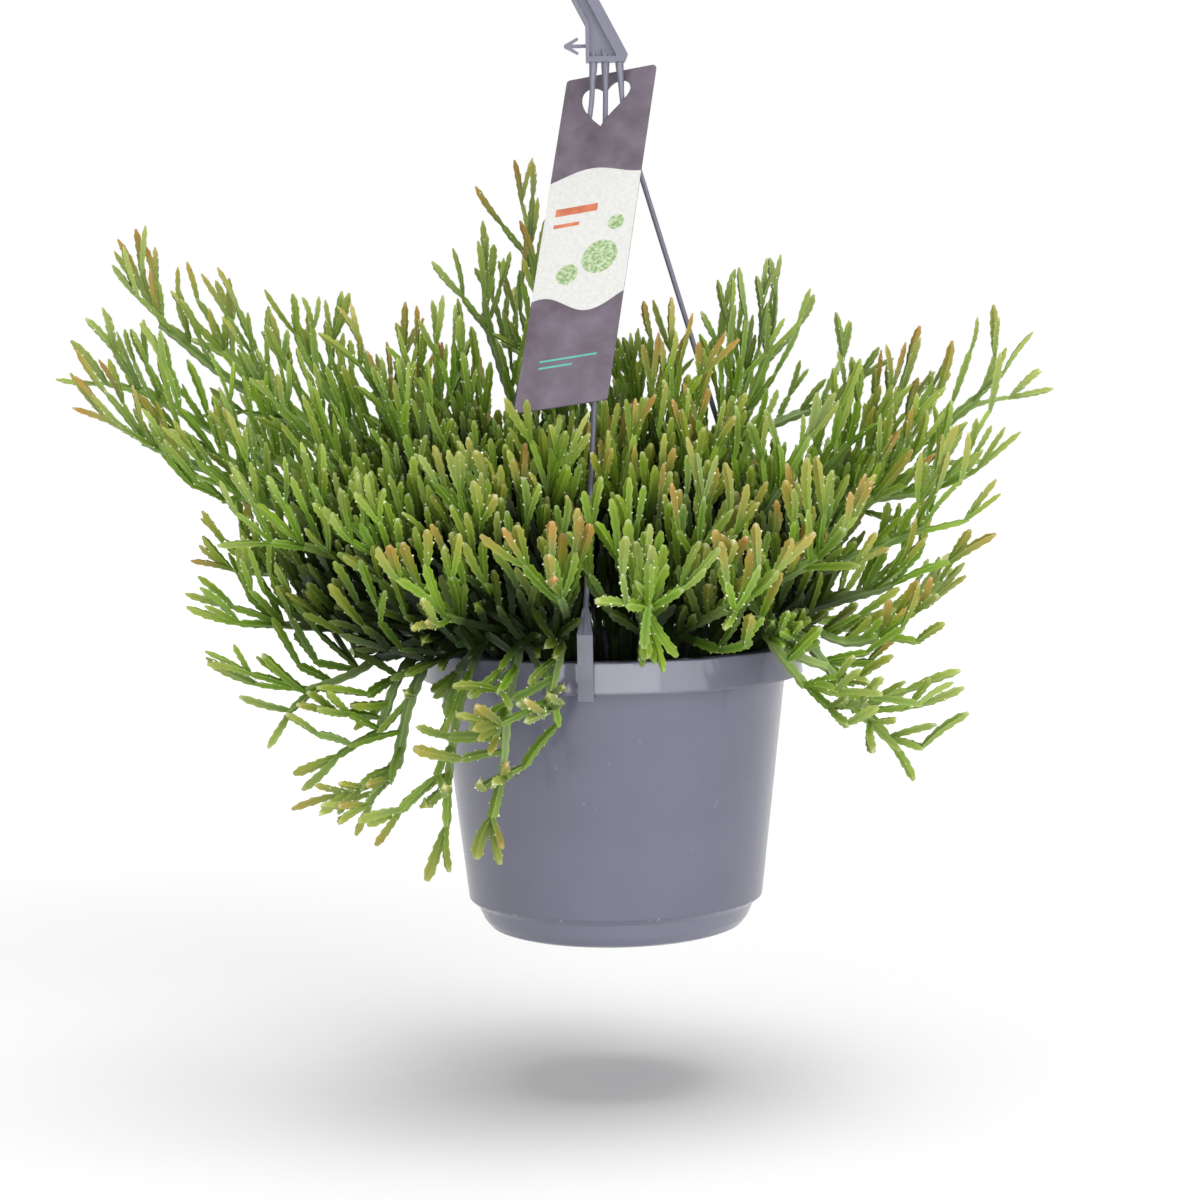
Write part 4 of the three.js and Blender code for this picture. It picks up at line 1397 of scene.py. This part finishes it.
def make_soil(material):
    """A lumpy bed of potting mix with crumbs of bark and a few pale grains on it."""
    draw = draws_from(SOIL_SEED)
    edge = POT_HEIGHT - SOIL_DROP
    limit = inside_wall(edge)
    lumps = [(draw() * 150 - 75, draw() * 150 - 75, 2.5 + 7 * draw(), 2.4 * (draw() - 0.45))
             for _ in range(LUMPS)]

    def height(x, y):
        rise = sum(size * math.exp(-((x - cx) ** 2 + (y - cy) ** 2) / (r * r)) for cx, cy, r, size in lumps)
        return edge + clamp(rise, -3, 3)

    low = FLOOR + 0.1
    side = [(FOOT_FLAT_RADIUS - 0.4, low), (FOOT_TOP_RADIUS - WALL - 0.5, FOOT_HEIGHT - 1),
            (inside_wall(FOOT_HEIGHT + 3), FOOT_HEIGHT + 3)]
    rows = [(*polar(r, angle), z) for r, z in side for angle in once_round(SOIL_SEGMENTS)]
    for k in range(SOIL_RINGS):
        for angle in once_round(SOIL_SEGMENTS):
            x, y = polar(limit * (1 - k / SOIL_RINGS), angle)
            rows.append((x, y, height(x, y)))
    rows += [(0, 0, low), (0, 0, height(0, 0))]
    parts = [(np.array(rows), sleeve_faces(len(side) + SOIL_RINGS, SOIL_SEGMENTS))]
    looks = [np.tile((0.0, 0.0, 0.0, 1.0), (len(rows), 1))]
    for _ in range(CRUMBS):
        x, y = polar((limit - 2) * math.sqrt(draw()), draw() * 2 * math.pi)
        size = 0.8 + 1.9 * draw() ** 2
        centre = np.array((x, y, height(x, y) + 0.35 * size))
        turn = Matrix.Rotation(draw() * 6.3, 3, "Z") @ Matrix.Rotation(0.8 * (draw() - 0.5), 3, "X")
        parts.append((centre + np.array(CRUMB) @ np.array(turn).T * size, OCTAHEDRON))
        grain = 1.0 if draw() < GRAIN_CHANCE else 0.0
        looks.append(np.tile((0.2 + 0.8 * draw(), grain, 0.0, 1.0), (len(CRUMB), 1)))
    vertices, faces = merged(parts)
    vertices[:, 2] += POT_BASE
    add_piece("potting_mix", vertices, faces, material, "soil", ["soil"], {"look": np.vstack(looks)}, False)


def prism(outline, depth, to_world):
    """A closed prism of an outline, depth thick about its plane."""
    count = len(outline)
    turns = sum(a[0] * b[1] - b[0] * a[1] for a, b in zip(outline, outline[1:] + outline[:1]))
    if turns < 0:
        outline = outline[::-1]
    flat = [Vector((x, y, 0)) for x, y in outline]
    caps = np.array(tessellate_polygon([flat]))
    for tri in caps:
        a, b, c = (flat[i] for i in tri)
        if (b - a).cross(c - a).z < 0:
            tri[1], tri[2] = tri[2], tri[1]
    vertices = [to_world(x, y, level) for level in (-depth / 2, depth / 2) for x, y in outline]
    faces = [tuple(tri[::-1]) for tri in caps] + [tuple(tri + count) for tri in caps]
    for i in range(count):
        j = (i + 1) % count
        faces += [(i, j, j + count), (i, j + count, i + count)]
    return np.array(vertices), np.array(faces)


# Outlines of the hub from its foot as (x, height): its frame, the window in it, and a rib
HUB_OUTER = [(-8.6, 0), (7.6, 0), (8.8, 3), (-6.3, 32), (-17.3, 32), (-8.6, 15)]
HUB_INNER = [(-7, 2.2), (3.6, 2.2), (4, 2.7), (-10.2, 30), (-14.5, 30), (-7, 15.3)]
HUB_RIB = [(-1.7, 1), (-0.9, 1), (-0.9, 5.4), (-1.7, 5.4)]
PIN_RISE = 6.7
PIN_REACH = 17.5
PIN_THICKNESS = 1.8
STRAND_SIDES = 12
STRAND_FLARE = 0.7
FLARE_DROP = 12
NECK_THICKNESS = 1.6
NECK_HALF_TOP = 1.2
RIB_THICKNESS = 2.5
HANGER_CREASE = 35
FLAT_ANGLE = 1
EDGE_WIDTH = 0.22
EDGE_ANGLE = 50


def in_front_plane(x, z, depth):
    return (x, -depth, z)


def hook_line():
    """Centre line of the shank and hook, as (x, z, half width), from the hub up and over."""
    bend_half = HOOK_HALF_WIDTH - 0.04
    middle = HOOK_INNER_RADIUS + bend_half
    line = [(HUB_X - 11.2, HUB_BOTTOM + 31, SHANK_HALF_WIDTH - 0.3), (-13.8, -23, HOOK_HALF_WIDTH + 0.8)]
    for degrees in range(180, -25, -6):
        angle = math.radians(degrees)
        half = bend_half - (0.6 if degrees < 0 else 0)
        line.append((middle * math.cos(angle), middle * math.sin(angle) - HOOK_INNER_RADIUS, half))
    return line


def edge_points(line, reach_of_half):
    """Points beside the centre line, to its left, at a reach worked out from the half width."""
    result = []
    for i, (x, z, half) in enumerate(line):
        before, after = line[max(i - 1, 0)], line[min(i + 1, len(line) - 1)]
        run = Vector((after[0] - before[0], after[1] - before[1])).normalized()
        reach = reach_of_half(half)
        result.append((x - run.y * reach, z + run.x * reach))
    return result


def strip(line, low, high, depth):
    """A strip of the ribbon between two reaches beside its centre line."""
    right = edge_points(line, low)
    left = edge_points(line, high)
    return prism(right + left[::-1], depth, in_front_plane)


def hook_parts():
    line = hook_line()
    parts = [
        strip(line, lambda half: -half + 0.4, lambda half: half - 0.4, WEB_DEPTH),
        strip(line, lambda half: half - FLANGE, lambda half: half, HANGER_DEPTH),
        strip(line, lambda half: -half, lambda half: FLANGE - half, HANGER_DEPTH),
    ]
    parts.append(strip(line[-2:], lambda half: -half, lambda half: half, HANGER_DEPTH))
    return parts


def hub_parts():
    """The wedge hub and its label pin: a thin web inside a frame that is broad on its right."""
    def in_hub(x, z, depth):
        return in_front_plane(HUB_X + x, HUB_BOTTOM + z, depth)

    parts = [prism(HUB_OUTER, WEB_DEPTH, in_hub)]
    for i in range(len(HUB_OUTER)):
        j = (i + 1) % len(HUB_OUTER)
        side = [HUB_OUTER[i], HUB_OUTER[j], HUB_INNER[j], HUB_INNER[i]]
        parts.append(prism(side, HANGER_DEPTH, in_hub))
    parts.append(prism(HUB_RIB, 0.8 * HANGER_DEPTH, in_hub))
    foot, tip, level = HUB_X - 8, HUB_X - PIN_REACH, HUB_BOTTOM + PIN_RISE
    pin = [(foot, level - 0.7), (foot, level + 0.7), (tip + 3, level + 0.7), (tip + 6, level + 2.6),
           (tip + 5.6, level + 3.6), (tip, level + 0.6), (tip, level - 0.6), (tip + 5.6, level - 3.6),
           (tip + 6, level - 2.6), (tip + 3, level - 0.7)]
    parts.append(prism(pin, PIN_THICKNESS, in_front_plane))
    return parts


def strand_parts(index):
    """A strand that flares into the hub, with its clip on the rim."""
    points = spline(strand_points(index), 14)
    drop = (HUB_BOTTOM - points[:, 2]).clip(0, FLARE_DROP)
    radii = STRAND_RADIUS + STRAND_FLARE * (1 - drop / FLARE_DROP)
    parts = [swept(points, np.repeat(radii[:, None], STRAND_SIDES, axis=1))]
    lip = RIM_RADIUS - BAND_WALL - 0.7
    seat = -BAND_HEIGHT - 0.3
    inside, under = lip - 1.4, seat - 1.7
    profile = [(CLIP_INNER, CLIP_RISE), (CLIP_INNER, seat), (lip, seat), (lip, seat + 3.8),
               (inside, seat + 3.8), (inside, under), (CLIP_OUTER, under), (CLIP_OUTER, CLIP_RISE)]
    angle = math.radians(STRAND_AZIMUTHS[index])
    out = np.array((math.sin(angle), -math.cos(angle), 0))
    beside = np.array((math.cos(angle), math.sin(angle), 0))

    def at_rim(r, z, across):
        return out * r - beside * across + np.array((0, 0, RIM_TOP + z))

    parts.append(prism(profile, CLIP_WIDTH, at_rim))
    line = strand_points(index)
    end = np.array(line[-1])
    along = np.array(line[-2]) - end
    along /= np.linalg.norm(along)
    face = np.cross(beside, along)

    def at_neck(across, up, depth):
        return end + beside * across + along * up + face * depth

    half = CLIP_WIDTH / 2
    neck = [(-half, -1), (half, -1), (NECK_HALF_TOP, CLIP_NECK), (-NECK_HALF_TOP, CLIP_NECK)]
    parts.append(prism(neck, NECK_THICKNESS, at_neck))
    for side in (-1, 0, 1):
        low, top = side * half * 0.62, side * 0.4
        rib = [(low - 0.35, -0.6), (low + 0.35, -0.6), (top + 0.25, CLIP_NECK), (top - 0.25, CLIP_NECK)]
        parts.append(prism(rib, RIB_THICKNESS, at_neck))
    return parts


def united(piece, parts):
    """Joins closed parts to a closed piece, as one skin with nothing inside."""
    group = bpy.data.collections.new("parts_to_join")
    bpy.context.scene.collection.children.link(group)
    for vertices, faces in parts:
        mesh = bpy.data.meshes.new("part")
        mesh.from_pydata(np.asarray(vertices) * MM, [], np.asarray(faces).tolist())
        group.objects.link(bpy.data.objects.new("part", mesh))
    join = piece.modifiers.new("join", "BOOLEAN")
    join.operation = "UNION"
    join.operand_type = "COLLECTION"
    join.collection = group
    join.solver = "MANIFOLD"
    apply_modifiers(piece)
    for part in list(group.objects):
        bpy.data.objects.remove(part)
    bpy.data.collections.remove(group)


def make_hanger(material):
    parts = hook_parts() + hub_parts()
    for index in range(len(STRAND_TOPS)):
        parts += strand_parts(index)
    hanger = add_piece("moulded_hanger", *parts[0], material, "hanger_plastic", ["hanger"], smooth=False)
    united(hanger, parts[1:])
    sharpen(hanger, HANGER_CREASE)
    flat = hanger.modifiers.new("flat_faces", "DECIMATE")
    flat.decimate_type = "DISSOLVE"
    flat.angle_limit = math.radians(FLAT_ANGLE)
    bevel = hanger.modifiers.new("soft_edges", "BEVEL")
    bevel.width = EDGE_WIDTH * MM
    bevel.segments = 2
    bevel.limit_method = "ANGLE"
    bevel.angle_limit = math.radians(EDGE_ANGLE)


# The heart-shaped hole as a closed chain of curves, whose ends are every third point
HEART = [
    (-2.3, -11), (-2, -7), (1, -4.5), (4, -4.5), (7, -4.5), (8.6, -7), (8.4, -9.6), (8, -14), (-2, -20),
    (-4.6, -25.6), (-8.4, -21.5), (-13.2, -16), (-12.8, -10.5), (-12.6, -7.4), (-10.6, -5.9), (-8.4, -5.9),
    (-5.6, -5.9), (-3, -8), (-2.3, -11),
]
CURVE_STEPS = 10
ARC_STEPS = 6
WELD_GAP = 0.001


def arc(x, y, start):
    """A quarter turn of the card's corner radius about a point, from an angle in degrees."""
    turns = [polar(TAG_CORNER, math.radians(start + 90 * k / ARC_STEPS)) for k in range(ARC_STEPS + 1)]
    return [(x + dx, y + dy) for dx, dy in turns]


def card_outline():
    """The card with its four corners rounded, whose foot is shifted to one side."""
    side = TAG_WIDTH / 2 - TAG_CORNER
    foot = TAG_CORNER - TAG_LENGTH
    low = arc(-side, foot, 180) + arc(side, foot, 270)
    return [(x + TAG_SHIFT, y) for x, y in low] + arc(side, -TAG_CORNER, 0) + arc(-side, -TAG_CORNER, 90)


def heart_outline():
    points = []
    for i in range(0, len(HEART) - 1, 3):
        p, q, r, s = ([*corner, 0] for corner in HEART[i:i + 4])
        points += [point[:2] for point in bezier(p, q, r, s, CURVE_STEPS)]
    return points


def make_tag(material):
    """The card, made flat in its own frame and placed by its object's matrix."""
    curve = bpy.data.curves.new("card", "CURVE")
    curve.dimensions = "2D"
    curve.fill_mode = "BOTH"
    curve.extrude = (TAG_THICKNESS / 2 - TAG_BEVEL) * MM
    curve.bevel_depth = TAG_BEVEL * MM
    curve.bevel_resolution = 1
    for points in (card_outline(), heart_outline()):
        ring = curve.splines.new("POLY")
        ring.points.add(len(points) - 1)
        ring.use_cyclic_u = True
        for spot, (x, y) in zip(ring.points, points):
            spot.co = (x * MM, y * MM, 0, 1)
    shape = new_object("card_shape", curve)
    mesh = evaluated_mesh(shape)
    bpy.data.objects.remove(shape)
    weld = bmesh.new()
    weld.from_mesh(mesh)
    bmesh.ops.remove_doubles(weld, verts=weld.verts, dist=WELD_GAP * MM)
    weld.to_mesh(mesh)
    weld.free()
    tag = new_object("card_tag", mesh)
    mesh.materials.clear()
    mesh.materials.append(material)
    across = Vector(TAG_ACROSS).normalized()
    face = across.cross(Vector(TAG_UP)).normalized()
    up = face.cross(across)
    turn = Matrix((across, up, face)).transposed().to_4x4()
    tag.matrix_world = Matrix.Translation(Vector(TAG_ORIGIN) * MM) @ turn
    dress(tag, "tag_card", ["tag"])


CARD_TONES = (0.095, 0.072, 0.09), (0.16, 0.135, 0.175)
BAND_TONES = (0.55, 0.55, 0.53), (0.61, 0.61, 0.59)
LEAF_TONES = (0.2, 0.3, 0.12), (0.45, 0.55, 0.35)
CLAY_TONES = (0.45, 0.12, 0.06), (0.6, 0.2, 0.1)
RULE_TONE = (0.1, 0.42, 0.36)
# Spots as (across, up, radius), and bars and rules as (low, high, left, right)
SPOTS = [(7, -88, 7.5), (-6, -94, 4.6), (12, -73, 3.4)]
BARS = [(-66, -62.5, -15, 3), (-71.5, -69.8, -15, -4)]
RULES = [(-133, -132.2, -12, 12), (-136, -135.2, -12, 2)]


def printed_card():
    """A dark card with a pale band between wavy borders, and plain spots and bars on the band."""
    shader = Shader("printed_card")
    axes = shader.axes()
    up = shader.times(axes["Y"], 1 / MM)
    across = shader.math("MULTIPLY_ADD", up, TAG_SHIFT / TAG_LENGTH, shader.times(axes["X"], 1 / MM))
    front = shader.math("GREATER_THAN", axes["Z"], 0)
    mottle = shader.noise(70, 5)
    speckle = shader.noise(700, 3)

    def border(rate, phase, size, level):
        wave = shader.math("SINE", shader.math("MULTIPLY_ADD", across, rate, phase))
        return shader.math("MULTIPLY_ADD", wave, size, level)

    def spot(x, y, radius):
        dx = shader.times(shader.math("SUBTRACT", across, x), 1 / radius)
        dy = shader.times(shader.math("SUBTRACT", up, y), 1 / radius)
        return shader.math("LESS_THAN", shader.math("ADD", shader.times(dx, dx), shader.times(dy, dy)), 1)

    def bar(low, high, left, right):
        return shader.times(shader.between(up, low, high), shader.between(across, left, right))

    dark = shader.mix(shader.ramp(mottle, 0.3, 0.7), *CARD_TONES)
    face = shader.mix(shader.ramp(speckle, 0.35, 0.65), *BAND_TONES)
    leaf = shader.mix(shader.ramp(speckle, 0.4, 0.6), *LEAF_TONES)
    clay = shader.mix(shader.ramp(mottle, 0.4, 0.6), *CLAY_TONES)
    for place in SPOTS:
        face = shader.mix(spot(*place), face, leaf)
    for place in BARS:
        face = shader.mix(bar(*place), face, clay)
    band = shader.between(up, border(0.15, 3.9, 4.2, -107.8), border(0.13, 1.9, 2.6, -48))
    card = shader.mix(shader.times(band, front), dark, face)
    rules = shader.math("ADD", *(bar(*place) for place in RULES))
    card = shader.mix(shader.times(rules, front), card, RULE_TONE)
    shader.bump((speckle, 0.03))
    return shader.set(Base_Color=card, Roughness=shader.ramp(mottle, 0.3, 0.7, 0.38, 0.5))


# Stage, lights and camera

PHOTO_SIZE = 1200
FOCAL_PIXELS = 2857
SENSOR = 36
CAMERA_PLACE = (-4.6, -1195.6, -182.5)
CAMERA_PITCH = 4.9
CAMERA_ROLL = 1
WORLD_LIGHT = 0.3
FLOOR_HALF = 9000
FLOOR_TONES = (0.89, 0.89, 0.89), (0.915, 0.915, 0.915)
WHITE = (1, 1, 1)
FLOOR_GLOW = 0.17
# Overhead suns as (degrees of lean to the left, strength, degrees of spread)
CEILING = (0, 2.8, 27)
ABOVE_FLOOR = (-10, 0.6, 40)
ABOVE_POT = (-3, 1.42, 42)
# Low strips as (azimuth, degrees wide, radiance)
FRONT_STRIP = (-7, 70, 8)
SIDE_STRIP = (47, 36, 4)


def make_camera():
    data = bpy.data.cameras.new("camera")
    data.sensor_width = SENSOR
    data.lens = SENSOR * FOCAL_PIXELS / PHOTO_SIZE
    data.clip_start = 0.05
    data.clip_end = 50
    camera = new_object("camera", data)
    pitch = math.radians(CAMERA_PITCH)
    ahead = Vector((0, math.cos(pitch), -math.sin(pitch)))
    up = Vector((0, math.sin(pitch), math.cos(pitch)))
    turn = Matrix((Vector((1, 0, 0)), up, -ahead)).transposed()
    roll = Matrix.Rotation(math.radians(-CAMERA_ROLL), 3, "Z")
    camera.matrix_world = Matrix.Translation(Vector(CAMERA_PLACE) * MM) @ (turn @ roll).to_4x4()
    bpy.context.scene.camera = camera


def add_light(name, place, target, size, power):
    data = bpy.data.lights.new(name, "AREA")
    data.shape = "RECTANGLE"
    data.size, data.size_y = (part * MM for part in size)
    data.energy = power
    light = new_object(name, data)
    light.location = Vector(place) * MM
    aim = (Vector(target) - Vector(place)).normalized()
    light.rotation_euler = aim.to_track_quat("-Z", "Y").to_euler()


STRIP_DISTANCE = 2600
STRIP_HEIGHT = 330
STRIP_RISE = 1.5


def add_strip(name, azimuth, wide, radiance):
    """A low strip light level with the rim, at an azimuth and so many degrees wide."""
    turn = math.radians(azimuth)
    level = RIM_TOP + STRIP_DISTANCE * math.tan(math.radians(STRIP_RISE))
    width = 2 * STRIP_DISTANCE * math.tan(math.radians(wide / 2))
    place = (STRIP_DISTANCE * math.sin(turn), -STRIP_DISTANCE * math.cos(turn), level)
    power = radiance * math.pi * width * STRIP_HEIGHT * MM * MM
    add_light(name, place, (0, 0, RIM_TOP), (width, STRIP_HEIGHT), power)


def add_sun(name, lean, strength, spread):
    """A broad overhead light that leans over to the left by so many degrees."""
    data = bpy.data.lights.new(name, "SUN")
    data.energy = strength
    data.angle = math.radians(spread)
    light = new_object(name, data)
    light.rotation_euler = (0, math.radians(-lean), 0)
    return light


def group_of(name, *members):
    """A collection that only lights refer to."""
    group = bpy.data.collections.new(name)
    for member in members:
        group.objects.link(member)
    return group


def make_world():
    """White to the camera, and a dimmer soft light on the object."""
    world = bpy.data.worlds.new("studio")
    bpy.context.scene.world = world
    world.use_nodes = True
    nodes = world.node_tree.nodes
    seen = nodes.new("ShaderNodeLightPath").outputs["Is Camera Ray"]
    level = nodes.new("ShaderNodeMapRange")
    level.inputs["To Min"].default_value = WORLD_LIGHT
    level.inputs["To Max"].default_value = 1
    world.node_tree.links.new(seen, level.inputs["Value"])
    world.node_tree.links.new(level.outputs[0], nodes["Background"].inputs["Strength"])
    nodes["Background"].inputs["Color"].default_value = (*WHITE, 1)


def pale_floor():
    """A near-white floor that fades to white and glows a little further out, so no horizon shows."""
    shader = Shader("pale_floor")
    length = shader.add("ShaderNodeVectorMath", operation="LENGTH")
    shader.put(length.inputs[0], shader.place)
    away = length.outputs["Value"]
    tone = shader.mix(shader.noise(3, 2), *FLOOR_TONES)
    tone = shader.mix(shader.ramp(away, 0.5, 1.1), tone, WHITE)
    return shader.set(Base_Color=tone, Roughness=0.8, Emission_Color=(*WHITE, 1),
                      Emission_Strength=shader.ramp(away, 0.4, 1.1, 0, FLOOR_GLOW))


def make_stage():
    scene = bpy.context.scene
    scene.view_settings.view_transform = "Standard"
    scene.view_settings.look = "None"
    make_world()
    corners = [(x * FLOOR_HALF, y * FLOOR_HALF, FLOOR_LEVEL) for x, y in ((-1, -1), (1, -1), (1, 1), (-1, 1))]
    mesh = bpy.data.meshes.new("floor")
    mesh.from_pydata([Vector(corner) * MM for corner in corners], [], [(0, 1, 2, 3)])
    mesh.materials.append(pale_floor())
    floor = new_object("floor", mesh)
    ceiling = add_sun("ceiling", *CEILING)
    above_floor = add_sun("above_floor", *ABOVE_FLOOR)
    above_pot = add_sun("above_pot", *ABOVE_POT)
    only_floor = group_of("floor_only", floor)
    not_floor = group_of("not_floor", floor)
    ceiling.light_linking.receiver_collection = not_floor
    not_floor.collection_objects[0].light_linking.link_state = "EXCLUDE"
    above_floor.light_linking.receiver_collection = only_floor
    above_pot.light_linking.receiver_collection = only_floor
    above_pot.light_linking.blocker_collection = group_of("pot_only", bpy.data.objects["moulded_pot"])
    add_light("front_right", (1300, -1900, 700), (0, 0, -250), (1000, 1100), 20)
    add_strip("front_strip", *FRONT_STRIP)
    add_strip("side_strip", *SIDE_STRIP)


def build():
    make_camera()
    shoots = grow_all()
    thicken(shoots)
    make_shoots(shoots, cactus_skin())
    make_pot(moulded_plastic("pot_plastic", *POT_TONES, POT_GLOSS, POT_BASE + FOOT_HEIGHT + 1.2))
    make_soil(potting_soil())
    make_hanger(moulded_plastic("hanger_plastic", *HANGER_TONES, HANGER_GLOSS))
    make_tag(printed_card())
    make_stage()


build()
